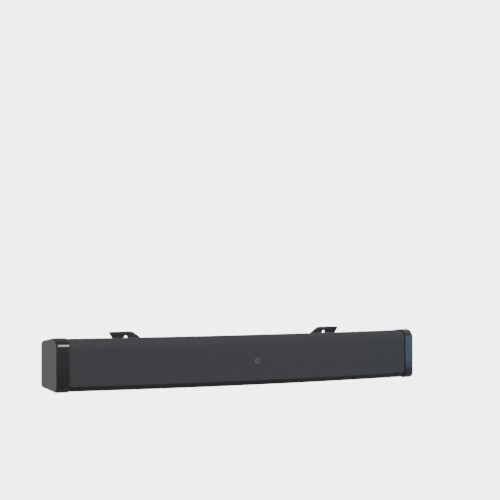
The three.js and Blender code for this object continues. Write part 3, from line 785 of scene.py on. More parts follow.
@dataclass(frozen=True)
class BarSection:
    """The bar's outline at any place along it: four corner arcs joined by their common tangents.

    The front is one long arc in plan, so each section is deeper towards the middle of the bar.
    """

    half_length: float
    back: float
    end_depth: float = 103 * MM
    bow: float = 50 * MM
    height: float = 138.5 * MM
    drop: float = 0.5 * MM
    front_top: float = 28 * MM
    front_bottom: float = 14 * MM
    back_top: float = 13 * MM
    back_bottom: float = 11 * MM
    back_top_centre: float = 116.9 * MM
    back_bottom_centre: float = 19 * MM

    @property
    def bow_radius(self) -> float:
        """Radius of the front's arc in plan, from its chord and its rise."""
        return (self.half_length**2 + self.bow**2) / (2 * self.bow)

    def depth(self, x: np.ndarray) -> np.ndarray:
        """Front to back at x: the end depth plus the arc's rise there."""
        return self.end_depth + np.sqrt(self.bow_radius**2 - x**2) - (self.bow_radius - self.bow)

    def front(self, x: np.ndarray) -> np.ndarray:
        """The front's y at x."""
        return self.back - self.depth(x)

    def slope(self, x: float) -> float:
        """The front's turn about Z at x."""
        return math.asin(x / self.bow_radius)

    def tilt(self, x: np.ndarray, front: float, back: float, drop: float) -> np.ndarray:
        """Angle of two arcs' common tangent: their centres' line, plus asin(radius change / its length)."""
        run = self.depth(x) - back - front
        return np.arctan2(drop, run) + np.arcsin((front - back) / np.hypot(run, drop))

    def fall(self, x: np.ndarray) -> np.ndarray:
        """How the top falls towards the back."""
        drop = self.height - self.front_top - self.back_top_centre
        return self.tilt(x, self.front_top, self.back_top, drop)

    def rise(self, x: np.ndarray) -> np.ndarray:
        """How the underside rises towards the back."""
        drop = self.back_bottom_centre - self.front_bottom
        return self.tilt(x, self.front_bottom, self.back_bottom, drop)

    def ends(self, x: np.ndarray) -> tuple[np.ndarray, ...]:
        """The angles at which the corner arcs meet the top, the underside, the front and the back."""
        upper, under = QUARTER - self.fall(x), self.rise(x) - QUARTER
        return upper, under, np.full(len(x), math.pi), np.zeros(len(x))

    def arc(
        self,
        x: np.ndarray,
        inset: np.ndarray,
        corner: str,
        start: np.ndarray,
        stop: np.ndarray,
        count: int,
    ) -> np.ndarray:
        """Points (depth, height) on one corner's arc.

        Args:
            x: (n,) places along the bar.
            inset: (n,) how far the outline is moved in.
            corner: front_top, back_top, back_bottom or front_bottom.
            start: (n,) first angle.
            stop: (n,) last angle.
            count: Points in the arc.

        Returns:
            (n, count, 2) points.
        """
        size = getattr(self, corner)
        radius = (size - inset)[:, None]
        depth = np.full(len(x), size) if corner.startswith("front") else self.depth(x) - size
        height = {
            "front_top": self.height - self.front_top,
            "front_bottom": self.front_bottom,
            "back_top": self.back_top_centre,
            "back_bottom": self.back_bottom_centre,
        }[corner]
        t = np.linspace(0, 1, count)[None, :]
        angle = start[:, None] * (1 - t) + stop[:, None] * t
        across = depth[:, None] + radius * np.cos(angle)
        return np.stack((across, height + radius * np.sin(angle)), axis=-1)

    def placed(self, x: np.ndarray, points: np.ndarray) -> np.ndarray:
        """Turns depths and heights into places in the frame.

        Args:
            x: (n,) places along the bar.
            points: (n, m, 2) depths and heights.

        Returns:
            (n, m, 3) places.
        """
        along = np.broadcast_to(x[:, None], points.shape[:2])
        across = self.front(x)[:, None] + points[..., 0]
        return np.stack((along, across, self.drop + points[..., 1]), axis=-1)

    def outline(self, x: np.ndarray, inset: np.ndarray, fineness: int = 14) -> np.ndarray:
        """The closed outline, with points beside each arc's ends to keep the flats flat.

        Args:
            x: (n,) places along the bar.
            inset: (n,) how far the outline is moved in.
            fineness: Points in each small arc; the front's upper arc has twice as many.

        Returns:
            (n, m, 3) places.
        """
        upper, under, level, behind = self.ends(x)
        arcs = [
            self.arc(x, inset, "front_top", level, upper, 2 * fineness),
            self.arc(x, inset, "back_top", upper, behind, fineness),
            self.arc(x, inset, "back_bottom", behind, under, fineness),
            self.arc(x, inset, "front_bottom", under, -level, fineness),
        ]
        return self.placed(x, joined(arcs))


def straight(start: np.ndarray, end: np.ndarray, stops: Sequence[float]) -> np.ndarray:
    """Points between two columns of points, at the given shares of the way."""
    t = np.asarray(stops)[None, :, None]
    return start[:, None] * (1 - t) + end[:, None] * t


def joined(arcs: Sequence[np.ndarray], stops: Sequence[float] = (0.03, 0.5, 0.97)) -> np.ndarray:
    """Arcs joined into a ring by straights that carry points near both of their ends.

    Args:
        arcs: Each (n, m, 2).
        stops: Shares of the way along each straight.

    Returns:
        One (n, m, 2) row of points for each place.
    """
    parts: list[np.ndarray] = []
    for number, piece in enumerate(arcs):
        following = arcs[(number + 1) % len(arcs)]
        parts += [piece, straight(piece[:, -1], following[:, 0], stops)]
    return np.concatenate(parts, axis=1)


# ---------------------------------------------------------------- sub-assemblies


@dataclass
class Grille:
    """The perforated front skin and the badge on it."""

    section: BarSection
    proud: float = 2.2 * MM
    thickness: float = 1.2 * MM
    seam: float = math.radians(68)
    lip: float = 15 * MM
    steps: int = 260
    arc_steps: int = 26
    stops: Sequence[float] = tuple(np.linspace(0.04, 1, 16))

    def face(self, x: np.ndarray, inset: float) -> np.ndarray:
        """The face from its upper seam down to its lower edge: an arc, then a straight.

        Args:
            x: (n,) places along the bar.
            inset: How far it is moved in from the end caps' outline.

        Returns:
            (n, m, 2) depths and heights.
        """
        level, moved = np.full(len(x), math.pi), np.full(len(x), inset)
        arc = self.section.arc(x, moved, "front_top", level - self.seam, level, self.arc_steps)
        foot = np.stack((moved, np.full(len(x), self.lip)), axis=-1)
        return np.concatenate((arc, straight(arc[:, -1], foot, self.stops)), axis=1)

    def build(self) -> bpy.types.Object:
        """A closed skin: the outer face, the inner face and the rim between them.

        Its surface map runs along the bar and, from the upper seam, down the face.

        Returns:
            The skin.
        """
        low, high = (corner.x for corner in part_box("grille_mesh"))
        x = np.linspace(low, high, self.steps)
        outer = self.section.placed(x, self.face(x, self.proud))
        inner = self.section.placed(x, self.face(x, self.proud + self.thickness))
        ring = np.concatenate((outer, inner[:, ::-1]), axis=1)
        rows, columns = ring.shape[:2]
        half = columns // 2
        travel = np.linalg.norm(np.diff(outer[0], axis=0), axis=1)
        down = np.concatenate(([0.0], np.cumsum(travel)))
        down = np.concatenate((down, down[::-1]))
        uv = np.stack(np.broadcast_arrays(x[:, None], down[None, :]), axis=-1)
        end = np.arange(half - 1)
        cap = np.stack((end, end + 1, columns - 2 - end, columns - 1 - end), axis=1)
        quads = np.concatenate((quads_between(rows, columns, wrap=True), cap, cap + (rows - 1) * columns))
        return make_mesh("Grille_skin", ring.reshape(-1, 3), quads, uv=uv.reshape(-1, 2))

    def badge(self) -> bpy.types.Object:
        """A plain turned disc with a rounded rim and a slightly dished face.

        Returns:
            The disc.
        """
        low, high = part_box("front_badge")
        radius, thick = (high.x - low.x) / 2, high.y - low.y
        edge = 0.35 * thick
        foot = [(0, 0), (radius - edge, 0), (radius, edge), (radius, thick - edge)]
        rim = quarter((radius - edge, thick - edge), (edge, edge), steps=6)
        dish = [(0.86, 1), (0.82, 0.86), (0.4, 0.8), (0, 0.8)]
        profile = np.concatenate((foot, rim, np.array(dish) * (radius, thick)))
        middle = middle_of("front_badge")
        return lathe("Badge_disc", profile, facing_at(middle.x, high.y, middle.z), steps=96)

    def dress(self) -> None:
        """Fits both pieces to the cabinet."""
        fit(self.build(), "grille", stands_for=["grille_mesh"])
        fit(self.badge(), "badge", stands_for=["front_badge"])


@dataclass
class Housing:
    """The wrap-round shell: lower lip, underside, back and top, with its two cut-outs."""

    section: BarSection
    proud: float = 2.2 * MM
    wall: float = 3 * MM
    lip: float = 14.6 * MM
    seam: float = math.radians(69.5)
    gap: float = 0.4 * MM
    steps: int = 96
    margin: float = 0.02

    def lines(self, x: np.ndarray, inset: float) -> tuple[np.ndarray, dict[str, int]]:
        """The open path from the lower lip round to the upper seam.

        Args:
            x: Places along the bar.
            inset: How far it is moved in from the end caps' outline.

        Returns:
            (n, m, 3) places, and the column numbers of the cut-outs' edges.
        """
        s = self.section
        moved = np.full(len(x), inset)
        upper, under, level, behind = s.ends(x)
        lip = np.stack((moved, np.full(len(x), self.lip)), axis=-1)
        arcs = [
            s.arc(x, moved, "front_bottom", -level, under, 12),
            s.arc(x, moved, "back_bottom", under, behind, 10),
            s.arc(x, moved, "back_top", behind, upper, 12),
            s.arc(x, moved, "front_top", upper, level - self.seam, 6),
        ]
        tray_low, tray_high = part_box("connector_tray")
        heights = [tray_low.z - self.gap - s.drop, tray_high.z + self.gap - s.drop]
        foot, head = arcs[1][:, -1], arcs[2][:, 0]
        shares = [(h - foot[0, 1]) / (head[0, 1] - foot[0, 1]) for h in heights]
        back_wall = straight(foot, head, [self.margin, *shares, 1 - self.margin])
        top_start, top_end = arcs[2][:, -1], arcs[3][:, 0]
        panel_low, panel_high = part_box("control_panel")
        near = np.clip(x, panel_low.x - self.wall, panel_high.x + self.wall)
        beside = s.back - s.depth(near)
        rows = [panel_high.y + self.gap, panel_low.y - self.gap]
        reach = s.depth(near) - s.depth(x)
        first, last = top_start[:, 0] + reach, top_end[:, 0]
        t = np.stack([
            np.full(len(x), self.margin),
            *((y - beside - first) / (last - first) for y in rows),
            np.full(len(x), 1 - self.margin),
        ], axis=1)[..., None]
        roof = top_start[:, None] * (1 - t) + top_end[:, None] * t
        floor = straight(arcs[0][:, -1], arcs[1][:, 0], (0.03, 0.97))
        parts = [lip[:, None], arcs[0], floor, arcs[1], back_wall, arcs[2], roof, arcs[3]]
        starts = np.cumsum([0] + [part.shape[1] for part in parts])
        marks = {"tray": int(starts[4]) + 1, "panel": int(starts[6]) + 1}
        return s.placed(x, np.concatenate(parts, axis=1)), marks

    def cutouts(self) -> dict[str, tuple[float, float]]:
        """Where the two cut-outs begin and end along the bar.

        Returns:
            The two places, by the cut-out's name.
        """
        edges = {}
        for name, node in (("tray", "connector_tray"), ("panel", "control_panel")):
            low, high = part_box(node)
            edges[name] = (low.x - self.gap, high.x + self.gap)
        return edges

    def build(self) -> bpy.types.Object:
        """Outer and inner faces, less the cells of the cut-outs, with rims all round.

        Returns:
            The shell.
        """
        edges = self.cutouts()
        low, high = (corner.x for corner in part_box("rear_housing"))
        stations = np.concatenate((np.linspace(low, high, self.steps), *edges.values()))
        x = np.unique(np.round(stations, 6))
        outer, marks = self.lines(x, self.proud)
        inner, _ = self.lines(x, self.proud + self.wall)
        rows, columns = outer.shape[:2]
        count = rows * columns
        skin = quads_between(rows, columns)
        row, column = skin[:, 0] // columns, skin[:, 0] % columns
        keep = np.ones(len(skin), dtype=bool)
        holes = [(0, rows - 1, 0, columns - 1)]
        for name, span in edges.items():
            start, stop = np.searchsorted(x, np.array(span) - WELD)
            mark = marks[name]
            keep &= ~((row >= start) & (row < stop) & (column == mark))
            holes.append((start, stop, mark, mark + 1))
        rims = []
        for start, stop, left, right in holes:
            along = np.arange(start, stop + 1) * columns
            across = np.arange(left, right + 1)
            lines = (along + left, along + right, across + start * columns, across + stop * columns)
            rims += [self.rim(line, count) for line in lines]
        skin = skin[keep]
        points = np.concatenate((outer.reshape(-1, 3), inner.reshape(-1, 3)))
        return make_mesh("Housing_shell", points, np.concatenate((skin, skin[:, ::-1] + count, *rims)))

    @staticmethod
    def rim(line: np.ndarray, count: int) -> np.ndarray:
        """Quads from a line of outer points to the matching inner points."""
        return np.stack((line[:-1], line[1:], line[1:] + count, line[:-1] + count), axis=1)

    def dress(self) -> None:
        """Fits the shell to the cabinet."""
        fit(self.build(), "housing", stands_for=["rear_housing"])


@dataclass
class EndCaps:
    """The two glossy end caps."""

    section: BarSection
    width: float = 32.5 * MM
    fillet: float = 4 * MM
    edge: float = 0.7 * MM
    wall: float = 3 * MM
    mouth: float = 9 * MM
    flat_margin: float = 0.6 * MM

    def rows(self) -> tuple[np.ndarray, np.ndarray]:
        """The path of the cap's surface from its floor out of its mouth and over to its side face.

        Returns:
            Places along the bar, and how far the outline is moved in at each.
        """
        inner, outer = self.section.half_length - self.width, self.section.half_length
        cup = [(outer - self.wall, self.mouth), (inner, self.mouth)]
        edge = quarter((inner + self.edge, self.edge), (-self.edge, -self.edge), steps=7)
        level = np.linspace(inner + 2 * MM, outer - self.fillet - 1 * MM, 6)
        side = quarter(
            (outer - self.fillet, self.fillet), (self.fillet, self.fillet), steps=15, start=-QUARTER)
        flat = [(outer, self.fillet + self.flat_margin)]
        middle = np.stack((level, np.zeros(len(level))), axis=1)
        path = np.concatenate((cup, edge, middle, side, flat))
        return path[:, 0], path[:, 1]

    def build(self, side: int, word: str) -> bpy.types.Object:
        """One cap: rings of the bar's outline swept over a rounded edge, closed at both ends.

        Args:
            side: -1 for the left cap and 1 for the right.
            word: The side in words.

        Returns:
            The cap.
        """
        rings = self.section.outline(*self.rows())
        rings[..., 0] *= side
        return ringed(f"End_cap_{word}_shell", rings)

    def dress(self) -> None:
        """Fits both caps."""
        for side, word in SIDES:
            fit(self.build(side, word), "cap", stands_for=[f"end_cap_{word}"])


def hexagon(angle: np.ndarray) -> np.ndarray:
    """A hexagon's radius by angle, as a share of its corner radius."""
    sector = math.pi / 3
    return math.cos(sector / 2) / np.cos(np.mod(angle, sector) - sector / 2)


@dataclass
class Fasteners:
    """Socket-head screws in the back of the bar, of one kind.

    Sizes across the head are shares of its radius, and sizes along it shares of its height.
    """

    names: Sequence[str]
    head: float
    shank: float
    flat: float = 0.62
    socket: float = 0.42
    socket_floor: float = 0.35

    def build(self, node: str) -> bpy.types.Object:
        """A domed head with a hexagonal recess over a plain shank, turned about -Y.

        Args:
            node: The CAD node that it stands for.

        Returns:
            The screw.
        """
        low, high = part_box(node)
        radius, head = (high.z - low.z) / 2, self.head
        tip = high.y - low.y - head
        shank, recess = radius * self.shank, radius * self.socket
        stem = [(0, tip), (shank * 0.8, tip), (shank, tip - shank * 0.3), (shank, 0), (radius, 0)]
        dome = quarter((radius * self.flat, 0), (radius * (1 - self.flat), -head), steps=9)
        hole = [(recess * 1.12, -head), (recess, -head * 0.96), (recess, -head * self.socket_floor),
                (0, -head * 0.3)]
        profile = np.concatenate((stem, dome, hole))
        shaped = (len(profile) - 3, len(profile) - 2)
        middle = middle_of(node)
        place = facing_at(middle.x, high.y - head, middle.z)
        return lathe(titled(node), profile, place, steps=48, shape=hexagon, shaped=shaped)

    def dress(self) -> None:
        """Fits every screw."""
        for node in self.names:
            fit(self.build(node), "screw", stands_for=[node])


@dataclass
class Brackets:
    """The steel hanger ears behind the bar."""

    hole_x: float = 315 * MM
    hole_height: float = 132.5 * MM
    hole_radius: float = 5 * MM
    screw_radius: float = 2.7 * MM
    corner: float = 7 * MM
    edge: float = 0.5 * MM
    outline: Profile = (
        (-58, 46), (-4, 46), (-4, 84), (30, 116), (36, 126),
        (43, 136), (51, 147), (-20, 147), (-50, 126), (-58, 112))

    def build(self, side: int, word: str) -> bpy.types.Object:
        """One ear: a flat outline with rounded corners, its hanging hole and its screw holes.

        Args:
            side: -1 for the left ear and 1 for the right.
            word: The side in words.

        Returns:
            The ear.
        """
        low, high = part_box(f"hanger_bracket_{word}")
        drop = high.z - max(height for _, height in self.outline) * MM
        corners = [(side * (self.hole_x + dx * MM), height * MM + drop) for dx, height in self.outline]
        holes = [round_hole(side * self.hole_x, self.hole_height, self.hole_radius)]
        for number in (1, 2):
            screw = middle_of(f"bracket_screw_{word}_{number}")
            holes.append(round_hole(screw.x, screw.z, self.screw_radius))
        middle = (low.y + high.y) / 2

        def place(points: np.ndarray) -> np.ndarray:
            """Stands the plate up behind the bar."""
            return np.stack((points[:, 0], middle - points[:, 2], points[:, 1]), axis=1)

        outlines = [rounded_polygon(corners, self.corner), *holes]
        return pressed_plate(f"Hanger_ear_{word}", outlines, high.y - low.y, self.edge, place)

    def dress(self) -> None:
        """Fits both ears."""
        for side, word in SIDES:
            fit(self.build(side, word), "steel", stands_for=[f"hanger_bracket_{word}"])


@dataclass
class Feet:
    """Four round rubber feet whose tops follow the sloping underside."""

    section: BarSection
    proud: float = 2.2 * MM
    gap: float = 0.4 * MM
    edge: float = 1.2 * MM
    ring: float = 0.5 * MM
    top: float = 1.0  # stands for the underside's height, which varies across the foot

    def build(self, node: str) -> bpy.types.Object:
        """A tapered disc with a rounded foot and a shallow ring in its sole.

        The top's points lie on the underside's sloping plane, whose height grows from front to back
        by the tangent of its rise, and no other point passes that plane.

        Args:
            node: The CAD node that it stands for.

        Returns:
            The foot.
        """
        low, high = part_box(node)
        x, y, _ = middle_of(node)
        radius = (high.x - low.x) / 2
        s, here = self.section, np.array([x])
        rise = float(s.rise(here)[0])
        centre = s.front_bottom
        bottom = s.drop + centre - (centre - self.proud) / math.cos(rise) - self.gap
        front = float(s.front(here)[0]) + centre
        sole = [(0, self.ring), (radius * 0.55, self.ring), (radius * 0.62, 0)]
        rim = quarter((radius - self.edge, self.edge), (self.edge, self.edge), steps=7, start=-QUARTER)
        side = [(radius * 0.97, 0.5 * (high.z - low.z)), (radius * 0.9, self.top), (radius * 0.5, self.top),
                (0, self.top)]
        profile = np.concatenate((sole, rim, side))

        def place(a: np.ndarray, b: np.ndarray, h: np.ndarray) -> np.ndarray:
            """Stands the foot under the slope, with its top on the slope itself."""
            slope = bottom + (y + b - front) * math.tan(rise)
            return np.stack((x + a, y + b, np.where(h == self.top, slope, np.minimum(h, slope))), axis=-1)

        words = "_".join(reversed(node.split("_")[1:]))
        return lathe(f"Rubber_foot_{words}", profile, place, steps=56)

    def dress(self) -> None:
        """Fits all four."""
        for row in ("front", "rear"):
            for _, word in SIDES:
                node = f"foot_{row}_{word}"
                fit(self.build(node), "rubber", stands_for=[node])


class Key(Enum):
    """The four keys and the bodies that they ride on."""

    POWER = "power"
    SOURCE = "source"
    VOLUME_DOWN = "volume_down"
    VOLUME_UP = "volume_up"

    def centre(self) -> float:
        """The key's place along the bar."""
        return middle_of(f"button_{self.value}").x


@dataclass
class ControlPanel:
    """The top panel, its keys and their raised legends."""

    section: BarSection
    length: float = 150 * MM
    width: float = 24 * MM
    thickness: float = 2.6 * MM
    proud: float = 0.4 * MM
    from_back: float = 52 * MM
    key_length: float = 24 * MM
    key_width: float = 11 * MM
    key_top: float = 1.4 * MM
    key_bottom: float = -4 * MM
    flange: float = 1.4 * MM
    flange_top: float = -2.8 * MM
    gap: float = 0.4 * MM
    inset: float = 2.2 * MM
    panel_corner: float = 2.5 * MM
    panel_edge: float = 0.35 * MM
    soft: float = 1.1 * MM
    dish: float = 0.45 * MM
    smallest_corner: float = 0.3 * MM
    sign: float = 1.7 * MM
    stroke: float = 0.35 * MM
    sign_thickness: float = 0.3 * MM
    sign_edge: float = 0.05 * MM
    sign_depth: float = 0.42 * MM

    def seat(self, points: np.ndarray) -> np.ndarray:
        """Leans panel coordinates back with the top and moves them onto it.

        Args:
            points: (..., 3) places: along the panel, across it and square off it.

        Returns:
            The places in the frame.
        """
        s, middle = self.section, np.zeros(1)
        fall = float(s.fall(middle)[0])
        depth = float(s.depth(middle)[0]) - self.from_back
        radius = s.front_top
        height = s.height - radius + (radius - self.inset) / math.cos(fall)
        height -= (depth - radius) * math.tan(fall)
        y, z = points[..., 1], points[..., 2]
        c, n = math.cos(fall), math.sin(fall)
        base = float(s.front(middle)[0]) + depth
        places = (points[..., 0], base + y * c + z * n, s.drop + height - y * n + z * c)
        return np.stack(places, axis=-1)

    def seated(self, shift: Sequence[float]) -> Callable[[np.ndarray], np.ndarray]:
        """A way of placing a plate that moves it by a shift and then seats it."""
        return lambda points: self.seat(points + np.asarray(shift))

    def panel(self) -> bpy.types.Object:
        """The panel plate with a slot for each key.

        Returns:
            The plate.
        """
        outlines = [stadium(self.length, self.width, self.panel_corner)]
        length, width = self.key_length + 2 * self.gap, self.key_width + 2 * self.gap
        for key in Key:
            outlines.append(stadium(length, width, width / 2) + (key.centre(), 0.0))
        place = self.seated((0.0, 0.0, self.proud - self.thickness / 2))
        return pressed_plate("Key_panel", outlines, self.thickness, self.panel_edge, place)

    def key(self, key: Key) -> bpy.types.Object:
        """One key: rings of a long rounded outline, from its flange over a soft edge to a dished top.

        Args:
            key: Which key.

        Returns:
            The key.
        """
        soft, top = self.soft, self.key_top
        foot = [(-self.flange, self.key_bottom), (-self.flange, self.flange_top), (0, self.flange_top),
                (0, top - soft)]
        edge = quarter((soft, top - soft), (-soft, soft), steps=8)
        dished = np.array([(1.6, 0.1), (2.6, 0.55), (4.0, 0.95)]) * (soft, -self.dish) + (0, top)
        rings = []
        for inset, level in np.concatenate((foot, edge, dished)):
            length, width = self.key_length - 2 * inset, self.key_width - 2 * inset
            outline = stadium(length, width, max(width / 2, self.smallest_corner))
            rings.append(np.insert(outline, 2, level, axis=1))
        return ringed(f"Key_{key.value}", self.seat(np.stack(rings) + (key.centre(), 0.0, 0.0)))

    def legend(self, key: Key) -> bpy.types.Object:
        """A plain raised sign on a key: a ring, a triangle, a bar or a cross.

        Args:
            key: Which key.

        Returns:
            The sign.
        """
        size, bar = self.sign, self.stroke
        dash = [(-size, -bar), (size, -bar), (size, bar), (-size, bar)]
        cross = [(-size, -bar), (-bar, -bar), (-bar, -size), (bar, -size), (bar, -bar), (size, -bar)]
        signs = {
            Key.POWER: [round_hole(0, 0, size), round_hole(0, 0, size - 2 * bar)],
            Key.SOURCE: [rounded_polygon([(-size, -size), (size, 0), (-size, size)], 0.4 * MM)],
            Key.VOLUME_DOWN: [rounded_polygon(dash, 0.3 * MM)],
            Key.VOLUME_UP: [np.concatenate((cross, -np.array(cross)))],
        }
        place = self.seated((key.centre(), 0.0, self.key_top - self.sign_depth))
        name = f"Legend_{key.value}"
        return pressed_plate(name, signs[key], self.sign_thickness, self.sign_edge, place)

    def dress(self) -> None:
        """Fits the panel, the keys and their legends."""
        fit(self.panel(), "housing", stands_for=["control_panel"])
        for key in Key:
            body = f"{key.value}_key"
            fit(self.key(key), "button", body, stands_for=[f"button_{key.value}"])
            fit(self.legend(key), "button", body, finish="legend")


@dataclass
class Drivers:
    """Four woofers and two tweeters behind the grille, turned to face square off the bowed front.

    Every profile is (radius, distance in front of the baffle) in millimetres.
    """

    section: BarSection
    woofers: Sequence[float] = (-0.455, -0.355, 0.355, 0.455)
    tweeters: Sequence[float] = (-0.276, 0.276)
    set_back: float = 14 * MM
    height: float = 64 * MM
    cone_radius: float = 31
    neck: float = 11
    ripple: float = 0.22
    ripples: int = 5
    roll_inner: float = 31.4
    roll_outer: float = 35.8
    dome_radius: float = 12.5
    dome_rise: float = 5.4
    steps: int = 96

    def cone(self) -> np.ndarray:
        """A flared paper cone with five raised rings, a domed dust cap and the former behind it.

        The front's height follows the share of the way out to the power 0.8, plus a sine ripple that
        fades at both ends. The cap is a quarter of an ellipse.

        Returns:
            The profile.
        """
        t = np.linspace(1, 0, 60)
        radius = self.neck + (self.cone_radius - 1.2 - self.neck) * t
        ripple = self.ripple * np.sin(self.ripples * 2 * math.pi * t) * np.sin(math.pi * t)
        front = np.stack((radius, -12.4 + 10.4 * t**0.8 + ripple), axis=1)
        turn = np.linspace(0.05, QUARTER, 14)
        cap = np.stack((10.4 * np.cos(turn), -12.2 + 5.2 * np.sin(turn)), axis=1)
        cap[-1, 0] = 0
        behind = [(0, -12.8), (9, -14), (9, -19), (10.4, -19), (11, -15), (31, -2.6), (31, 1.0),
                  (30.8, 1.2), (29.8, 1.2)]
        return np.concatenate((behind, front, cap)) * MM

    def roll(self) -> np.ndarray:
        """A rubber surround: half an ellipse on a flat foot.

        Returns:
            The profile.
        """
        turn = np.linspace(0, math.pi, 20)
        half = (self.roll_outer - self.roll_inner) / 2
        radius = self.roll_inner + half + half * np.cos(turn)
        arch = np.stack((radius, 1.6 + 2.4 * np.sin(turn)), axis=1)
        line = np.concatenate(([(self.roll_inner, 0.4), (self.roll_outer, 0.4)], arch))
        return np.concatenate((line, line[:1])) * MM

    def dome(self) -> np.ndarray:
        """A silk dome: a quarter ellipse over a short flat rim.

        Returns:
            The profile.
        """
        arch = quarter((0, 1), (self.dome_radius, self.dome_rise), steps=24)
        arch[-1, 0] = 0
        return np.concatenate(([(0, -1), (self.dome_radius, -1)], arch)) * MM

    def woofer_profiles(self) -> dict[str, tuple[str, np.ndarray]]:
        """The woofer's pieces.

        Returns:
            Each piece's slot and profile, by its name.
        """
        basket = [(44, 0.6), (44, 3), (36.4, 3), (36.4, -4), (24, -26),
                  (12, -26), (12, -28), (26, -28), (37.8, -5), (37.8, 0.6)]
        magnet = [(0, -40), (27, -40), (27, -37), (30, -37),
                  (30, -31.4), (27, -31.4), (27, -28.4), (0, -28.4)]
        return {
            "basket": ("steel", soft_profile(basket, 0.6)),
            "magnet": ("magnet", soft_profile(magnet, 0.8)),
            "surround": ("rubber", self.roll()),
            "cone": ("cone", self.cone()),
        }

    def tweeter_profiles(self) -> dict[str, tuple[str, np.ndarray]]:
        """The tweeter's pieces.

        Returns:
            Each piece's slot and profile, by its name.
        """
        faceplate = [(12.9, 0.4), (24, 0.4), (24, 2.6), (22, 3.2), (16, 2.9), (12.9, 1.6)]
        magnet = [(0, -18), (15, -18), (15, -16), (17, -16), (17, -4), (15, -4), (15, -1.4), (0, -1.4)]
        return {
            "faceplate": ("housing", soft_profile(faceplate, 0.6)),
            "dome": ("dome", self.dome()),
            "magnet": ("magnet", soft_profile(magnet, 0.6)),
        }

    def dress(self) -> None:
        """Builds every driver; each cone rides on its own body."""
        kinds = (
            ("woofer", self.woofers, self.woofer_profiles()),
            ("tweeter", self.tweeters, self.tweeter_profiles()),
        )
        for kind, places, profiles in kinds:
            for number, x in enumerate(places, 1):
                face = float(self.section.front(np.array([x]))[0]) + self.set_back
                place = facing_at(x, face, self.section.drop + self.height, self.section.slope(x))
                for piece, (slot, profile) in profiles.items():
                    node = f"{kind}_{number}_{piece}"
                    made = lathe(f"{node.capitalize()}_turned", profile, place, self.steps)
                    body = f"cone_{number}" if piece == "cone" else ROOT
                    fit(made, slot, body, stands_for=[node])


@dataclass
class MouldedPieces:
    """Finer copies of the boxy pieces, whose sharp edges are broken by a small radius."""

    breaks: dict[str, float] = field(default_factory=lambda: {
        "connector_tray": 0.5 * MM,
        "power_inlet": 0.35 * MM,
        "hdmi_socket": 0.2 * MM,
        "optical_socket": 0.3 * MM,
        "usb_socket": 0.2 * MM,
        "aux_socket": 0.3 * MM,
        "heat_sink": 0.25 * MM,
        "main_board": 0.2 * MM,
        "power_supply_board": 0.3 * MM,
        "amplifier_board": 0.2 * MM,
        "button_board": 0.3 * MM,
        "front_baffle": 0.8 * MM,
        "grille_frame": 0.4 * MM,
        "remote_receiver": 0.6 * MM,
    })
    plated: Sequence[str] = ("hdmi_socket", "usb_socket")
    corner: float = 30.0
    level: float = 0.5

    def build(self, node: str, width: float) -> bpy.types.Object:
        """Copies a node, joins its flat triangles into whole faces and rounds its sharp edges.

        Args:
            node: The CAD node.
            width: How far the rounding reaches on each side of an edge.

        Returns:
            The new piece.
        """
        source = frame["nodes"][node]
        work = bmesh.new()
        work.from_mesh(source.data)
        work.transform(source.matrix_world)
        bmesh.ops.remove_doubles(work, verts=work.verts, dist=WELD)
        flat, turn = math.radians(self.level), math.radians(self.corner)
        bmesh.ops.dissolve_limit(work, angle_limit=flat, verts=work.verts, edges=work.edges)
        sharp = [edge for edge in work.edges if edge.calc_face_angle(0.0) > turn]
        bmesh.ops.bevel(
            work, geom=sharp, offset=width, segments=2, profile=0.5, affect="EDGES", clamp_overlap=True)
        bmesh.ops.recalc_face_normals(work, faces=work.faces)
        mesh = bpy.data.meshes.new(f"{titled(node)}_moulded")
        work.to_mesh(mesh)
        work.free()
        return linked(mesh.name, mesh, self.corner)

    def dress(self) -> None:
        """Fits every copy."""
        for node, width in self.breaks.items():
            finish = "shell" if node in self.plated else ""
            fit(self.build(node, width), SLOTS[node], stands_for=[node], finish=finish)


# ---------------------------------------------------------------- carried-over nodes


def dress_carried_nodes() -> None:
    """Gives every CAD node the finish of its slot, for those that show and for plain views."""
    for name, node in frame["nodes"].items():
        WARDROBE.dress(node, SLOTS[name])


# ---------------------------------------------------------------- setting


@dataclass(frozen=True)
class Softbox:
    """A soft rectangular light that faces a point on the bar."""

    name: str
    place: tuple[float, float, float]
    aim: tuple[float, float, float]
    size: tuple[float, float]
    radiance: float
    colour: tuple[float, float, float] = (1.0, 1.0, 1.0)

    def build(self) -> None:
        """Makes the light. Its power is its radiance times its area times pi."""
        data = bpy.data.lights.new(self.name, "AREA")
        data.shape, data.size, data.size_y = "RECTANGLE", *self.size
        data.energy = self.radiance * self.size[0] * self.size[1] * math.pi
        data.color = self.colour
        lamp = bpy.data.objects.new(self.name, data)
        lamp.location = self.place
        facing = Vector(self.aim) - Vector(self.place)
        lamp.rotation_euler = facing.to_track_quat("-Z", "Y").to_euler()
        lamp.visible_camera = False
        bpy.context.scene.collection.objects.link(lamp)


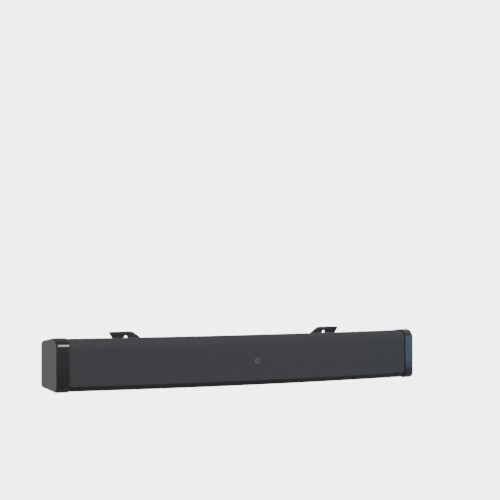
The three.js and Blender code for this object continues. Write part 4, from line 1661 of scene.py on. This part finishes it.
@dataclass
class Setting:
    """The camera, the pale floor and the soft lights.

    The bar hangs well above the floor. The surround shows as white to the eye, and lights the bar evenly.
    """

    section: BarSection
    lens: float = 113.8
    aside: float = 2.1824
    ahead: float = 3.684
    above: float = 0.3448
    turn: float = 30.747
    lift: float = 0.0149
    roll: float = -0.1
    far: float = 60.0
    floor: float = -0.9
    reach: float = 12.5
    behind: float = 2.0
    paint: float = 0.6
    paint_roughness: float = 0.9
    daylight: float = 0.92
    white: float = 4.0
    softboxes: Sequence[Softbox] = (
        Softbox("Strip_softbox", (-0.165, -2.45, 1.85), (-0.54, 0, 0.12), (1.1, 1.0), 15.0),
        Softbox(
            "Cool_softbox", (3.0, -1.75, 0.652), (0.54, 0, 0.07), (1.7, 1.7), 1.9, (0.23, 0.6, 1.0)),
    )

    def camera(self) -> None:
        """A long-lens camera to the left of the bar, level, looking along it towards the right."""
        data = bpy.data.cameras.new("Camera")
        data.lens, data.shift_y = self.lens, self.lift
        data.clip_end = self.far
        camera = bpy.data.objects.new("Camera", data)
        front = float(self.section.front(np.array([self.section.half_length]))[0])
        camera.location = (-self.aside, front - self.ahead, self.section.drop + self.above)
        camera.rotation_euler = (QUARTER, math.radians(self.roll), -math.radians(self.turn))
        bpy.context.scene.collection.objects.link(camera)
        bpy.context.scene.camera = camera

    def ground(self) -> None:
        """A wide pale floor: it lights the bar from below as matte paint does, and shows as white."""
        r, back, z = self.reach, self.behind, self.floor
        mesh = bpy.data.meshes.new("Floor")
        mesh.from_pydata([(-r, -r, z), (r, -r, z), (r, back, z), (-r, back, z)], [], [(0, 1, 2, 3)])
        floor = bpy.data.objects.new("Floor", mesh)
        bpy.context.scene.collection.objects.link(floor)
        graph = Graph("Pale_floor")
        seen = graph.node("ShaderNodeLightPath", output="Is Camera Ray")
        graph.surface_values(
            Base_Color=shade(self.paint),
            Roughness=self.paint_roughness,
            Emission_Color=shade(1.0),
            Emission_Strength=seen * self.white,
        )
        mesh.materials.append(graph.material)

    def sky(self) -> None:
        """An even white surround, brighter to the eye than in reflections."""
        world = bpy.data.worlds.new("Studio")
        bpy.context.scene.world = world
        world.use_nodes = True
        nodes = Nodes(world.node_tree)
        seen = nodes.node("ShaderNodeLightPath", output="Is Camera Ray")
        background = nodes.tree.nodes["Background"]
        nodes.feed(background.inputs["Color"], shade(1.0))
        nodes.feed(background.inputs["Strength"], seen * self.white + self.daylight)

    def build(self) -> None:
        """Sets everything up."""
        self.camera()
        self.ground()
        self.sky()
        for softbox in self.softboxes:
            softbox.build()
        LOG.info("setting ready with %d softboxes", len(self.softboxes))


# ---------------------------------------------------------------- assembly


def main() -> None:
    """Builds and dresses the whole soundbar."""
    logging.basicConfig(level=logging.INFO, format="%(name)s: %(message)s")
    low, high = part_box("end_cap_right")
    section = BarSection(half_length=high.x, back=high.y)
    Setting(section).build()
    dress_carried_nodes()
    Grille(section).dress()
    Housing(section).dress()
    EndCaps(section).dress()
    Fasteners([f"end_cap_screw_{word}" for _, word in SIDES], head=1.7 * MM, shank=0.41).dress()
    for _, word in SIDES:
        names = [f"bracket_screw_{word}_{number}" for number in (1, 2)]
        Fasteners(names, head=2.4 * MM, shank=0.5).dress()
    Brackets().dress()
    Feet(section).dress()
    ControlPanel(section).dress()
    Drivers(section).dress()
    MouldedPieces().dress()


if __name__ == "__main__":
    main()
